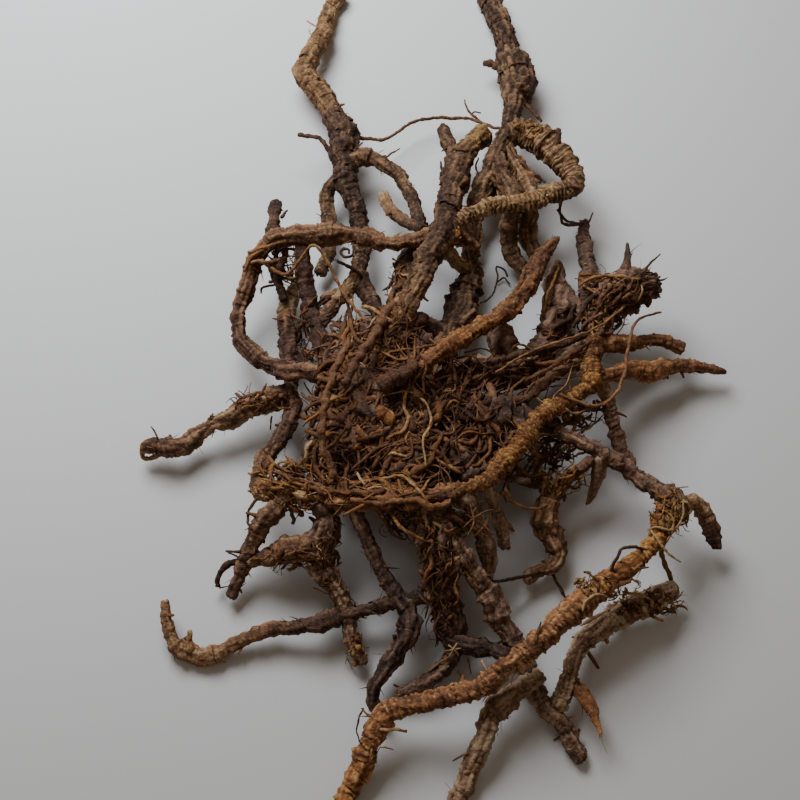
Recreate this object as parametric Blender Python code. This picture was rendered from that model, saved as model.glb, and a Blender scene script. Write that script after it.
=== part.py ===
"""Dried aspidistra rhizome: one grown clump of ringed rhizome arms round a crown matted with rootlets.

Metres, +Z up. The clump lies on the plane z = 0 on small flats worn on its lowest arms, and its origin
is the middle of its box, at the bottom. It is all one body: arms, stubs and rootlets grow together.
"""

import math

import bmesh
import bpy
import numpy as np

# Driving dimensions
MM = 0.001
PIXEL = 0.36 * MM                 # what one pixel spans at the middle of the clump, at z = 0
RING_PITCH = 8.5 * MM             # from one raised ring of an arm to the next
RING_RELIEF = 0.13                # how far a ring stands out, as a share of the arm's radius
BARK_WOBBLE = 0.06                # uneven bark, as a share of the radius
ROOTLET_STEP = 8.0 * MM           # length of one straight piece of a rootlet
ARM_SIDES = 6
FULLNESS = 1.07                   # makes up for the flats of a tube with few sides
TIP = 0.35                        # length of a blunt tip, as a share of the end's radius
TWIG_SIDES = 4
ROOTLET_SIDES = 3
MAT_ROOTLETS = 34
HANGING_ROOTLETS = 12
MOST_TRIANGLES = 11600            # the joined body is thinned to this, flat places first
SEED = 11

# The eye that the routes below were read from
FRAME_MIDDLE = 400.0              # pixels, across and down
FOCAL_PIXELS = 1111.0             # a 50 mm lens on a 36 mm sensor, over 800 pixels
EYE_TILT = math.radians(65.0)     # how steeply the eye looks down
LOOK_AT = np.array([-13.3, -25.0, 0.0]) * MM    # puts the origin at the middle of the clump's box
FORWARD = np.array([0.0, math.cos(EYE_TILT), -math.sin(EYE_TILT)])
RIGHT = np.array([1.0, 0.0, 0.0])
UP = np.array([0.0, math.sin(EYE_TILT), math.cos(EYE_TILT)])
EYE = LOOK_AT - FORWARD * PIXEL * FOCAL_PIXELS

# Colours of the dry bark
BARK_COLOUR = (0.165, 0.082, 0.042, 1.0)

# Routes of the arms. A point is: pixels across, pixels down, height of the centre line over z = 0
# in millimetres, width in pixels.
ARMS = {
    "top_left_arm": [
        (340, -6, 2.8, 16), (327, 20, 5.0, 16), (322, 38, 7.0, 19), (315, 52, 8.5, 17), (305, 71, 10, 23),
        (314, 86, 11, 22), (327, 101, 12, 21), (334, 115, 13, 23), (343, 137, 14, 31), (345, 165, 13, 26),
        (348, 185, 12, 21), (357, 215, 11, 18), (362, 250, 12, 17), (353, 282, 15, 15), (336, 302, 18, 14),
        (319, 324, 19, 14)],
    "branch_under_loop": [
        (342, 172, 13, 14), (331, 186, 10, 13), (327, 206, 8, 12), (330, 228, 8, 13), (328, 258, 7, 13),
        (319, 275, 6, 13)],
    "bridge_branch": [
        (350, 158, 14, 16), (368, 158, 15, 17), (393, 171, 18, 13), (408, 190, 21, 12), (418, 216, 26, 12),
        (425, 230, 30, 14)],
    "pale_stub": [
        (383, 195, 12, 10), (389, 207, 14, 11), (398, 217, 18, 12), (410, 223, 24, 11), (424, 228, 29, 10)],
    "middle_arm": [
        (487, 132, 13, 23), (474, 144, 15, 19), (461, 157, 18, 21), (456, 178, 22, 26), (451, 200, 25, 24),
        (444, 226, 29, 24), (430, 255, 31, 24), (416, 285, 32, 23), (404, 310, 32, 22), (388, 345, 31, 20),
        (370, 385, 27, 20)],
    "short_twin": [(443, 127, 12, 12), (447, 142, 14, 13), (456, 162, 18, 13)],
    "top_right_arm": [
        (484, -6, 3.3, 19), (498, 20, 5, 19), (506, 40, 7, 21), (509, 56, 8.5, 25), (514, 68, 9.5, 32),
        (518, 80, 10, 37), (519, 88, 10.5, 36), (515, 96, 12, 22), (512, 115, 14, 16), (507, 136, 17, 17),
        (498, 152, 18, 20), (491, 175, 15, 24), (482, 196, 12, 20), (473, 220, 10, 17), (471, 250, 9, 17),
        (471, 270, 9.5, 19), (467, 291, 11, 29), (462, 309, 13, 32), (450, 335, 18, 26),
        (430, 385, 23, 20)],
    "ringed_hook": [
        (508, 135, 17, 20), (522, 133, 17, 24), (540, 141, 18, 28), (556, 153, 20, 27), (568, 165, 21, 25),
        (573, 176, 22, 20), (569, 187, 22.5, 19), (556, 192, 23.5, 17), (540, 198, 24, 17),
        (518, 204, 25, 16), (487, 207, 26, 15), (468, 214, 27, 14), (448, 228, 29, 14)],
    "hook_prop": [
        (496, 158, 18, 14), (506, 180, 20, 15), (514, 204, 21, 14), (509, 222, 15, 16), (511, 248, 9, 16),
        (524, 271, 6, 15)],
    "hook_root": [
        (506, 142, 17, 10), (518, 166, 19, 14), (530, 188, 20, 15), (533, 203, 20, 12), (529, 222, 13, 16),
        (531, 248, 7, 16), (538, 262, 6, 12)],
    "left_loop": [
        (430, 234, 31, 16), (408, 243, 32, 15), (388, 242, 32, 16), (360, 235, 31, 18), (330, 234, 30, 20),
        (300, 235, 28, 20), (275, 239, 25, 18), (259, 255, 22, 17), (249, 283, 18, 16), (239, 308, 15, 15),
        (238, 328, 14, 14), (248, 349, 15, 15), (266, 363, 18, 16), (290, 371, 22, 16), (312, 373, 25, 14),
        (330, 380, 25, 12)],
    "loop_stub": [(273, 242, 25, 13), (274, 222, 24, 13), (276, 202, 22, 12)],
    "dark_stem": [
        (302, 242, 26, 14), (304, 270, 21, 17), (309, 303, 18, 17), (319, 335, 20, 18), (338, 372, 22, 18)],
    "left_leg": [
        (297, 280, 9, 8), (289, 302, 9, 15), (286, 325, 9, 17), (289, 350, 10, 15), (292, 385, 12, 16),
        (292, 412, 13, 18), (279, 442, 15, 18), (263, 466, 16, 17), (258, 490, 17, 18), (272, 494, 19, 18)],
    "left_reach": [
        (141, 444, 8, 12), (154, 446, 8, 19), (172, 448, 8, 18), (200, 433, 9, 17), (230, 416, 11, 17),
        (256, 406, 12, 21), (273, 399, 13, 24), (290, 391, 12, 16)],
    "slant_arm": [
        (557, 238, 19, 8), (547, 250, 21, 13), (535, 268, 23, 18), (524, 292, 25, 20), (508, 311, 27, 18),
        (477, 329, 31, 17), (447, 347, 34, 17), (420, 368, 36, 18), (392, 396, 31, 18)],
    "waist_arm": [
        (440, 495, 33, 17), (468, 488, 33, 15), (487, 480, 33, 15), (503, 463, 32, 17), (525, 436, 30, 18),
        (545, 412, 28, 17), (569, 399, 26, 14), (588, 386, 25, 20), (592, 360, 23, 21), (597, 338, 21, 18)],
    "belt_arm": [
        (262, 490, 18, 18), (300, 496, 22, 19), (340, 500, 27, 19), (380, 501, 31, 20), (420, 499, 33, 20),
        (455, 493, 33, 19)],
    "upper_finger": [
        (594, 346, 21, 16), (612, 345, 18, 19), (632, 343, 15, 16), (655, 340, 13, 13), (685, 349, 11, 13)],
    "pointed_finger": [
        (588, 380, 24, 16), (610, 375, 21, 16), (632, 370, 17, 16), (652, 370, 14, 20), (675, 366, 11, 15),
        (703, 368, 8, 11), (726, 372, 6, 5)],
    "broken_head": [
        (590, 336, 20, 18), (598, 316, 21, 22), (610, 300, 22, 32), (626, 291, 23, 40), (642, 285, 22, 33),
        (655, 279, 20, 14)],
    "head_spike": [(622, 284, 24, 14), (627, 262, 25, 9), (628, 243, 25, 4)],
    "head_lump": [(612, 290, 23, 16), (620, 304, 19, 14), (624, 315, 17, 7)],
    "hidden_stub": [
        (584, 221, 7, 12), (584, 240, 8, 13), (587, 260, 10, 16), (589, 280, 13, 19), (588, 305, 17, 16),
        (594, 330, 20, 14)],
    "back_prop": [
        (596, 381, 22, 15), (608, 400, 17, 15), (613, 425, 12, 15), (622, 452, 8, 15), (632, 467, 6, 13)],
    "buried_arm": [
        (566, 330, 9, 13), (552, 351, 11, 16), (522, 364, 14, 18), (480, 370, 18, 18), (440, 392, 22, 18)],
    "buried_branch": [
        (440, 410, 24, 24), (478, 414, 22, 32), (510, 418, 20, 36), (538, 422, 20, 26), (560, 430, 20, 13)],
    "buried_low": [(430, 450, 22, 22), (480, 462, 17, 18), (525, 477, 12, 16), (556, 486, 15, 13)],
    "right_shoulder": [
        (540, 426, 20, 14), (568, 437, 21, 15), (600, 452, 20, 15), (620, 464, 18, 14), (642, 480, 17, 16),
        (657, 490, 18, 21), (674, 507, 19, 27), (662, 530, 20, 20)],
    "drooping_tip": [
        (678, 505, 19, 16), (696, 503, 17, 15), (706, 513, 14, 16), (712, 530, 10, 16), (718, 549, 7, 12)],
    "curled_leg": [
        (592, 458, 20, 11), (575, 473, 18, 12), (556, 488, 15, 15), (546, 503, 13, 23), (545, 520, 11, 25),
        (552, 537, 9, 22), (558, 551, 7, 18), (553, 564, 6, 16), (540, 570, 6, 14), (528, 576, 5, 11),
        (530, 584, 5, 7)],
    "hanging_root": [(597, 454, 20, 12), (598, 473, 15, 13), (594, 490, 11, 10), (587, 506, 8, 3)],
    "blunt_stub": [(488, 482, 30, 11), (495, 505, 24, 13), (501, 525, 19, 13), (505, 549, 15, 13)],
    "front_arm": [
        (676, 508, 19, 24), (664, 525, 20, 22), (653, 546, 21, 16), (640, 560, 22, 18), (622, 573, 22, 22),
        (600, 588, 22, 25), (578, 606, 22, 23), (553, 629, 22, 22), (525, 653, 21, 21), (500, 672, 20, 20),
        (480, 686, 18, 23), (462, 694, 17, 19), (430, 700, 15, 18), (400, 708, 13, 19), (384, 719, 12, 22),
        (373, 736, 10, 23), (364, 762, 7, 23), (352, 785, 4.0, 20), (340, 814, 2.5, 20)],
    "rear_runner": [
        (676, 586, 8, 16), (656, 601, 8, 25), (632, 609, 8, 25), (600, 628, 7, 21), (580, 648, 7, 16),
        (570, 670, 7, 15), (563, 694, 7, 18), (556, 710, 7, 16)],
    "splinter": [
        (569, 684, 7, 12), (582, 694, 8, 15), (591, 709, 8.5, 12), (597, 722, 9, 7), (602, 736, 9, 3)],
    "front_prop": [
        (541, 674, 10, 18), (520, 690, 10, 20), (503, 702, 10, 22), (491, 716, 9, 21), (484, 735, 8, 19),
        (474, 758, 6, 17), (467, 780, 4.0, 18), (456, 810, 2.5, 21)],
    "long_leg": [
        (440, 508, 30, 18), (455, 540, 25, 18), (471, 570, 20, 20), (492, 600, 15, 23), (507, 630, 12, 20),
        (523, 661, 10, 19), (532, 681, 9, 17), (540, 698, 7.5, 17), (550, 712, 6, 16), (562, 725, 4.5, 15),
        (570, 740, 3.2, 17), (578, 754, 2.4, 17), (582, 762, 2.2, 13)],
    "dark_prop": [
        (430, 500, 28, 34), (434, 528, 24, 42), (441, 558, 20, 42), (442, 586, 16, 34), (448, 615, 11, 26),
        (453, 645, 7, 20), (444, 668, 5, 17), (420, 684, 5, 13), (398, 694, 5, 8)],
    "bent_leg": [
        (396, 594, 14, 15), (407, 612, 13, 20), (407, 634, 12, 21), (398, 652, 9.5, 18), (386, 666, 8, 16),
        (377, 682, 7, 14), (373, 702, 5, 13), (384, 722, 4, 12)],
    "slim_leg": [
        (350, 499, 27, 15), (358, 520, 24, 15), (369, 545, 20, 15), (385, 576, 16, 14), (399, 600, 14, 14)],
    "fuzzy_leg": [
        (318, 502, 24, 20), (325, 525, 20, 26), (319, 550, 16, 26), (323, 570, 13, 24), (338, 590, 11, 18),
        (348, 612, 9, 15), (350, 636, 7, 13), (364, 664, 4.0, 12)],
    "lower_sweep": [
        (165, 600, 8, 9), (167, 622, 6, 12), (174, 643, 4.0, 15), (190, 655, 2.4, 17), (214, 656, 2.4, 17),
        (238, 642, 4.5, 14), (264, 631, 6, 12), (298, 627, 8, 15), (322, 622, 9, 18), (350, 613, 10, 15),
        (382, 606, 12, 14), (402, 600, 14, 14)],
    "claw_arm": [
        (291, 468, 24, 12), (284, 498, 24, 16), (264, 520, 18, 18), (251, 545, 12, 16), (243, 567, 8, 14),
        (231, 599, 4, 10)],
    "claw_branch": [(248, 562, 10, 13), (268, 557, 12, 18), (290, 552, 14, 24), (316, 546, 17, 24)],
    "crown_long": [
        (336, 345, 20, 38), (358, 380, 21, 60), (385, 415, 22, 68), (408, 450, 23, 64), (426, 488, 25, 46)],
    "crown_cross": [
        (306, 462, 18, 30), (340, 448, 19, 54), (388, 425, 21, 62), (432, 405, 22, 56), (468, 392, 21, 30)],
    "crown_top": [(352, 330, 22, 22), (378, 338, 24, 36), (404, 345, 24, 40), (430, 362, 23, 36)],
    "crown_side": [(440, 440, 24, 40), (462, 462, 24, 36), (478, 486, 25, 24)],
    "crown_link": [(402, 311, 27, 14), (427, 328, 22, 18), (456, 342, 14, 18)],
    "buried_stem": [
        (558, 262, 10, 10), (555, 285, 11, 20), (558, 310, 12, 32), (552, 334, 13, 27), (530, 361, 15, 20),
        (480, 378, 19, 18)],
    "dark_arch": [(448, 640, 8, 14), (470, 646, 10, 16), (492, 650, 11, 17), (514, 660, 12, 14)],
    "heart_stem": [
        (458, 492, 32, 18), (472, 508, 28, 19), (483, 532, 22, 18), (487, 556, 16, 16), (489, 579, 11, 10)],
    "under_mass": [(396, 506, 24, 22), (418, 515, 23, 28), (444, 522, 22, 30), (470, 520, 21, 26)],
    "leg_link": [(400, 600, 13, 12), (415, 598, 14, 12), (436, 597, 15, 12)],
    "rust_stub": [(564, 286, 13, 9), (574, 302, 16, 12), (586, 318, 19, 12)],
    "back_knob": [(492, 324, 16, 14), (502, 340, 18, 24), (510, 357, 17, 19), (518, 368, 14, 12)],
    "heart_low": [
        (440, 380, 20, 30), (470, 372, 15, 32), (505, 372, 12, 30), (538, 370, 10, 26), (566, 356, 12, 20),
        (588, 336, 15, 14)],
    "heart_middle": [(440, 446, 19, 38), (475, 442, 15, 42), (505, 436, 13, 34), (530, 424, 14, 22)],
    "back_root": [(534, 458, 20, 10), (540, 474, 18, 12), (550, 490, 16, 12)],
    "twin_stem": [
        (434, 229, 29, 13), (420, 240, 27, 15), (409, 260, 24, 19), (404, 284, 23, 18), (395, 306, 24, 18),
        (387, 328, 24, 16)],
    "neck_link": [(446, 247, 27, 17), (456, 263, 20, 13), (470, 270, 11, 14)],
    "hook_fan": [(499, 146, 14, 12), (508, 168, 14, 20), (516, 190, 15, 28), (519, 208, 16, 28)],
    "side_piece": [(361, 276, 13, 14), (366, 290, 15, 15), (372, 303, 18, 16), (384, 322, 23, 16)],
}

# Side twigs and thick roots, on the same four columns
TWIGS = {
    "arm_spur": [(505, 66, 9, 10), (484, 63, 8, 6)],
    "claw_hook": [(246, 561, 9, 8), (228, 564, 8, 7), (219, 574, 6, 6), (217, 587, 4, 5)],
    "thick_root": [
        (592, 334, 20, 8), (568, 341, 21, 10), (545, 349, 22, 11), (520, 354, 26, 9), (492, 362, 28, 8)],
    "mat_root_left": [
        (349, 343, 38, 8), (333, 376, 39, 8), (324, 416, 38, 8), (322, 439, 36, 8), (335, 478, 31, 8)],
    "mat_root_middle": [
        (393, 304, 34, 10), (380, 324, 37, 10), (369, 344, 39, 10), (358, 358, 40, 9), (344, 385, 40, 8)],
    "mat_stub": [(380, 389, 39, 16), (396, 377, 40, 18), (416, 368, 39, 14)],
    "low_root": [
        (580, 362, 21, 12), (558, 373, 22, 12), (545, 383, 23, 11), (528, 397, 24, 8), (500, 402, 26, 7)],
    "strip_root": [(660, 530, 19, 8), (662, 552, 15, 7), (671, 580, 9, 7)],
    "frayed_root": [(366, 273, 13, 9), (348, 287, 15, 9), (322, 299, 17, 8)],
    "loop_twig": [(282, 258, 22, 8), (278, 280, 18, 8), (284, 302, 12, 8)],
    "tip_thorn": [(142, 444, 7, 5), (144, 458, 5, 5), (160, 455, 6, 6)],
    "sweep_bud": [(190, 652, 5, 9), (189, 630, 8, 5)],
    "hook_stub": [(556, 152, 22, 8), (560, 128, 26, 5)],
    "yellow_stub": [(455, 226, 27, 8), (468, 238, 24, 6), (479, 247, 21, 6)],
}

# Single rootlets that show on their own
ROOTLETS = {
    "long_arch": [
        (352, 136, 14, 5), (385, 139, 11, 4), (413, 122, 9, 4), (460, 118, 8, 4), (504, 130, 14, 4)],
    "pale_arch": [
        (262, 262, 22, 4), (284, 274, 22, 4), (314, 245, 33, 4), (342, 290, 26, 4), (368, 325, 27, 4)],
    "right_arch": [
        (661, 312, 22, 4), (638, 320, 23, 4), (628, 348, 23, 5), (624, 376, 23, 5), (612, 398, 24, 5),
        (598, 406, 25, 5), (576, 401, 28, 5), (560, 393, 29, 5)],
    "right_loop": [(612, 399, 23, 4), (590, 408, 25, 4), (572, 413, 27, 4), (562, 406, 28, 4)],
    "pale_strand": [
        (640, 292, 25, 4), (618, 312, 27, 4), (594, 329, 29, 4), (560, 341, 31, 4), (524, 355, 33, 4),
        (496, 372, 33, 4)],
    "grey_strand": [(600, 335, 24, 5), (580, 348, 26, 5), (556, 364, 27, 5), (526, 381, 28, 5)],
    "olive_strand": [(559, 264, 10, 6), (557, 272, 17, 5), (547, 298, 20, 5), (543, 318, 14, 6)],
    "drop_strand": [(566, 424, 22, 4), (552, 434, 21, 4), (528, 460, 20, 4)],
    "under_loop": [(500, 492, 26, 5), (525, 508, 22, 4), (550, 503, 16, 4), (568, 480, 17, 4)],
    "low_curl": [(545, 572, 7, 4), (520, 577, 9, 4), (492, 581, 14, 4), (474, 572, 19, 4)],
    "spur_left": [(332, 156, 13, 5), (322, 140, 15, 4), (298, 135, 14, 4)],
    "spur_right": [(516, 98, 12, 5), (530, 108, 13, 4), (542, 122, 12, 4)],
    "spur_low": [(510, 142, 16, 5), (518, 162, 14, 4), (541, 182, 11, 4)],
    "hook_tail": [(562, 190, 22, 4), (562, 222, 14, 4), (586, 224, 8, 4)],
    "front_curl": [
        (610, 580, 23, 5), (614, 563, 28, 4), (620, 551, 30, 4), (634, 547, 27, 4), (647, 550, 22, 4)],
    "front_prong": [(380, 730, 14, 5), (396, 729, 17, 4), (406, 731, 15, 4)],
    "prop_curl": [(436, 541, 27, 5), (414, 536, 30, 5), (400, 526, 32, 5), (389, 510, 31, 5)],
}

# The arms that the mat's rootlets start from, and those that they run to
MAT_FROM = ("crown_long", "crown_cross", "belt_arm")
MAT_TO = (
    "crown_long", "crown_cross", "belt_arm", "slant_arm",
    "middle_arm", "dark_stem", "waist_arm", "buried_arm")
MAT_STATIONS = 12                 # places along an arm where a mat rootlet may start
MAT_STRAY = 50.0 * MM             # how much farther than the nearest place it may end
MAT_SPREAD = 9.0 * MM             # how far the middle of a mat rootlet wanders
MAT_LEVEL = 0.25                  # share of that wander that may be up or down
MAT_RISE = 10.0 * MM              # how far a mat rootlet stands out of the crown
MAT_LEAST, MAT_MOST = 0.1, 0.8    # shares of that rise
MAT_SHARES = (0.3, 0.7)           # where along a mat rootlet its two middle points lie
MAT_THICKNESS = 1.5 * MM
MAT_TAPER = np.array([1.4, 1.1, 1.0, 1.2])
HANG_TURN = 2.4                   # turn from one hanging rootlet to the next, radians
HANG_STRAY = 0.4
HANG_REACH = 34.0 * MM            # how far out a hanging rootlet goes
HANG_SHORTEST = 0.6               # reach of the shortest, as a share of the longest
HANG_DROP = 4.0 * MM              # how far it falls on its first half
HANG_END = 3.0 * MM               # height at which a hanging rootlet ends
HANG_TAPER = np.array([1.5, 1.2, 1.0, 0.8])


def on_sight_lines(route):
    """Points and radii of a route, where each pixel's sight line comes down to the point's height.

    A sight line is forward + across * right + up, each offset being pixels over focal length. Its
    forward share is 1, so the factor that brings it to the height is also the depth, and a width in
    pixels times depth over focal length is the real width.
    """
    across, down, height, width = np.array(route, dtype=float).T
    lines = (FORWARD + np.outer((across - FRAME_MIDDLE) / FOCAL_PIXELS, RIGHT)
             + np.outer((FRAME_MIDDLE - down) / FOCAL_PIXELS, UP))
    depth = (height * MM - EYE[2]) / lines[:, 2]
    return EYE + lines * depth[:, None], 0.5 * width * depth / FOCAL_PIXELS


def smooth(points, radii, count):
    """Stations along a smooth curve through the points: a cubic on each span, by chord length."""
    spans = np.linalg.norm(np.diff(points, axis=0), axis=1)
    knots = np.concatenate([[0.0], np.cumsum(spans)])
    rows = np.column_stack([points, radii])
    slopes = np.gradient(rows, knots, axis=0)
    along = np.linspace(0.0, knots[-1], count)
    span = np.clip(np.searchsorted(knots, along, side="right") - 1, 0, len(spans) - 1)
    share = ((along - knots[span]) / spans[span])[:, None]
    length = spans[span][:, None]
    curve = (rows[span] * (2 * share ** 3 - 3 * share ** 2 + 1)
             + slopes[span] * length * (share ** 3 - 2 * share ** 2 + share)
             + rows[span + 1] * (3 * share ** 2 - 2 * share ** 3)
             + slopes[span + 1] * length * (share ** 3 - share ** 2))
    return curve[:, :3], np.maximum(curve[:, 3], 0.5 * radii.min())


def route_length(points):
    """Length of a route along its own points."""
    return float(np.linalg.norm(np.diff(points, axis=0), axis=1).sum())


def frames(points):
    """Two unit vectors square to the curve at each station, carried along it without twist."""
    tangents = np.gradient(points, axis=0)
    tangents /= np.linalg.norm(tangents, axis=1)[:, None]
    side = np.cross(tangents[0], (0.0, 0.0, 1.0) if abs(tangents[0][2]) < 0.9 else (0.0, 1.0, 0.0))
    sides = []
    for tangent in tangents:
        side = side - tangent * np.dot(side, tangent)
        side = side / np.linalg.norm(side)
        sides.append(side)
    sides = np.array(sides)
    return tangents, sides, np.cross(tangents, sides)


def closed_tube(name, points, radii, sides, collection):
    """A closed tube of flat triangles along the stations, with a blunt point at each end.

    radii holds one radius for each station and each side, so that bark can be uneven.
    """
    tangents, across, over = frames(points)
    angle = 2 * math.pi * np.arange(sides) / sides
    rim = (across[:, None, :] * np.cos(angle)[None, :, None]
           + over[:, None, :] * np.sin(angle)[None, :, None])
    rings = (points[:, None, :] + rim * radii[:, :, None]).reshape(-1, 3)
    tips = np.array([points[0] - tangents[0] * radii[0].mean() * TIP,
                     points[-1] + tangents[-1] * radii[-1].mean() * TIP])
    count = len(points)
    faces = []
    for ring in range(count - 1):
        for side in range(sides):
            here = ring * sides + side
            beside = ring * sides + (side + 1) % sides
            faces.append((here, beside, beside + sides))
            faces.append((here, beside + sides, here + sides))
    first_tip = count * sides
    for side in range(sides):
        beside = (side + 1) % sides
        faces.append((first_tip, beside, side))
        faces.append((first_tip + 1, (count - 1) * sides + side, (count - 1) * sides + beside))
    mesh = bpy.data.meshes.new(name)
    mesh.from_pydata(np.vstack([rings, tips]).tolist(), [], faces)
    solid = bpy.data.objects.new(name, mesh)
    collection.objects.link(solid)
    return solid


def ringed_arm(name, route, draw, collection):
    """A rhizome arm: its radius steps up at each ring and down in the groove behind it."""
    points, radii = on_sight_lines(route)
    rings = max(2, round(route_length(points) / RING_PITCH))
    points, radii = smooth(points, radii * FULLNESS, 2 * rings + 1)
    step = np.where(np.arange(len(points)) % 2 == 1, 1.0 + RING_RELIEF, 1.0 - RING_RELIEF)
    bark = 1.0 + BARK_WOBBLE * draw.uniform(-1.0, 1.0, (len(points), ARM_SIDES))
    return closed_tube(name, points, (radii * step)[:, None] * bark, ARM_SIDES, collection)


def plain_root(name, points, radii, sides, collection):
    """A root without rings, in straight pieces of about one step."""
    count = max(3, round(route_length(points) / ROOTLET_STEP) + 1)
    points, radii = smooth(points, radii, count)
    return closed_tube(name, points, np.repeat(radii[:, None], sides, axis=1), sides, collection)


def mat_rootlets(draw, collection):
    """Rootlets over the crown: each leaves the heart of one arm, arches out, and dives into another."""
    for number in range(MAT_ROOTLETS):
        start, start_radius = on_sight_lines(ARMS[MAT_FROM[number % len(MAT_FROM)]])
        end = on_sight_lines(ARMS[MAT_TO[number % len(MAT_TO)]])[0]
        start, start_radius = smooth(start, start_radius, MAT_STATIONS)
        first = draw.integers(1, MAT_STATIONS - 1)
        away = [np.linalg.norm(place - start[first]) + draw.uniform(0, MAT_STRAY) for place in end]
        last = int(np.argmin(away))
        lift = np.array([0.0, 0.0, start_radius[first] + MAT_RISE * draw.uniform(MAT_LEAST, MAT_MOST)])
        wander = draw.uniform(-1.0, 1.0, (2, 3)) * MAT_SPREAD * np.array([1.0, 1.0, MAT_LEVEL])
        middle = [start[first] + (end[last] - start[first]) * share + lift for share in MAT_SHARES]
        points = np.array([start[first], middle[0] + wander[0], middle[1] + wander[1], end[last]])
        radii = 0.5 * MAT_THICKNESS * MAT_TAPER
        plain_root(f"mat_{number}", points, radii, ROOTLET_SIDES, collection)


def hanging_rootlets(draw, collection):
    """Rootlets under the crown: each leaves its heart, turned evenly round it, and trails down."""
    heart, width = on_sight_lines(ARMS["crown_long"])
    heart, width = smooth(heart, width, HANGING_ROOTLETS)
    for number, start in enumerate(heart):
        turn = HANG_TURN * number + draw.uniform(-HANG_STRAY, HANG_STRAY)
        out = np.array([math.cos(turn), math.sin(turn), 0.0]) * HANG_REACH * draw.uniform(HANG_SHORTEST, 1.0)
        points = np.array([start, start + out * 0.5 - (0, 0, HANG_DROP), start + out * 0.9, start + out])
        points[2, 2] = 0.5 * (start[2] + HANG_END)
        points[3, 2] = HANG_END
        radii = 0.5 * MAT_THICKNESS * HANG_TAPER
        plain_root(f"hang_{number}", points, radii, ROOTLET_SIDES, collection)


def apply_boolean(solid, operation, **operand):
    """Join to or cut from a solid, and keep the result as its mesh."""
    modifier = solid.modifiers.new(operation.lower(), "BOOLEAN")
    modifier.operation = operation
    modifier.solver = "MANIFOLD"
    for setting, value in operand.items():
        setattr(modifier, setting, value)
    result = bpy.data.meshes.new_from_object(solid.evaluated_get(bpy.context.evaluated_depsgraph_get()))
    solid.modifiers.clear()
    solid.data = result


def largest_body(mesh):
    """Keep the largest closed body of a mesh, which drops loose scraps and fills sealed hollows."""
    shape = bmesh.new()
    shape.from_mesh(mesh)
    bmesh.ops.triangulate(shape, faces=shape.faces)
    bodies = []
    unseen = set(shape.verts)
    while unseen:
        front = [unseen.pop()]
        body = list(front)
        while front:
            vertex = front.pop()
            for edge in vertex.link_edges:
                other = edge.other_vert(vertex)
                if other in unseen:
                    unseen.remove(other)
                    front.append(other)
                    body.append(other)
        bodies.append(body)
    bodies.sort(key=len)
    for body in bodies[:-1]:
        bmesh.ops.delete(shape, geom=body, context="VERTS")
    shape.to_mesh(mesh)
    shape.free()


def thinned(solid):
    """Collapse the joined body's needless edges, such as those that a join leaves across a flat face."""
    triangles = sum(len(face.vertices) - 2 for face in solid.data.polygons)
    modifier = solid.modifiers.new("thinned", "DECIMATE")
    modifier.ratio = min(1.0, MOST_TRIANGLES / triangles)
    result = bpy.data.meshes.new_from_object(solid.evaluated_get(bpy.context.evaluated_depsgraph_get()))
    solid.modifiers.clear()
    solid.data = result


def level_floor(solid):
    """Cut the lowest arms off flat where the clump bears, at z = 0."""
    depth = 20 * MM
    slab = bpy.data.meshes.new("slab")
    shape = bmesh.new()
    bmesh.ops.create_cube(shape, size=1.0)
    bmesh.ops.scale(shape, vec=(1.0, 1.0, depth), verts=shape.verts)
    bmesh.ops.translate(shape, vec=(0.0, 0.0, -depth / 2), verts=shape.verts)
    shape.to_mesh(slab)
    shape.free()
    cutter = bpy.data.objects.new("slab", slab)
    bpy.context.scene.collection.objects.link(cutter)
    apply_boolean(solid, "DIFFERENCE", object=cutter)
    bpy.data.objects.remove(cutter)


def bark():
    """Dry brown bark, matt."""
    material = bpy.data.materials.new("bark")
    material.use_nodes = True
    surface = material.node_tree.nodes["Principled BSDF"]
    surface.inputs["Base Color"].default_value = BARK_COLOUR
    surface.inputs["Roughness"].default_value = 0.85
    surface.inputs["Metallic"].default_value = 0.0
    return material


def rhizome_clump():
    """All arms, twigs and rootlets, joined in one body and finished."""
    draw = np.random.default_rng(SEED)
    grown = bpy.data.collections.new("grown")
    bpy.context.scene.collection.children.link(grown)
    for name, route in ARMS.items():
        ringed_arm(name, route, draw, grown)
    for name, route in TWIGS.items():
        plain_root(name, *on_sight_lines(route), TWIG_SIDES, grown)
    for name, route in ROOTLETS.items():
        plain_root(name, *on_sight_lines(route), ROOTLET_SIDES, grown)
    mat_rootlets(draw, grown)
    hanging_rootlets(draw, grown)

    clump = grown.objects["crown_long"]
    bpy.context.scene.collection.objects.link(clump)
    grown.objects.unlink(clump)
    apply_boolean(clump, "UNION", operand_type="COLLECTION", collection=grown)
    for solid in list(grown.objects):
        bpy.data.objects.remove(solid)
    bpy.data.collections.remove(grown)
    largest_body(clump.data)
    thinned(clump)
    level_floor(clump)

    clump.name = "rhizome_clump"
    clump.data.name = "rhizome_clump"
    clump.data.materials.clear()
    clump.data.materials.append(bark())
    clump.data.shade_smooth()
    clump.data.set_sharp_from_angle(angle=math.radians(40))
    return clump


def main():
    for old in list(bpy.data.objects):
        bpy.data.objects.remove(old)
    rhizome_clump()


main()
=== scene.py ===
"""Looks of a dried aspidistra rhizome: ringed bark, matted rootlets, fibres and a plain stage.

The file is laid out as an add-on and run as a script. Every shape is a tube: a profile of many sides
carried along a curve, with its bark raised by a formula, worked out as whole arrays.
"""

import math
from collections import namedtuple

import bpy
import numpy as np
from bpy.props import EnumProperty, FloatProperty, FloatVectorProperty, IntProperty, PointerProperty
from mathutils import Matrix, Vector


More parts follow.
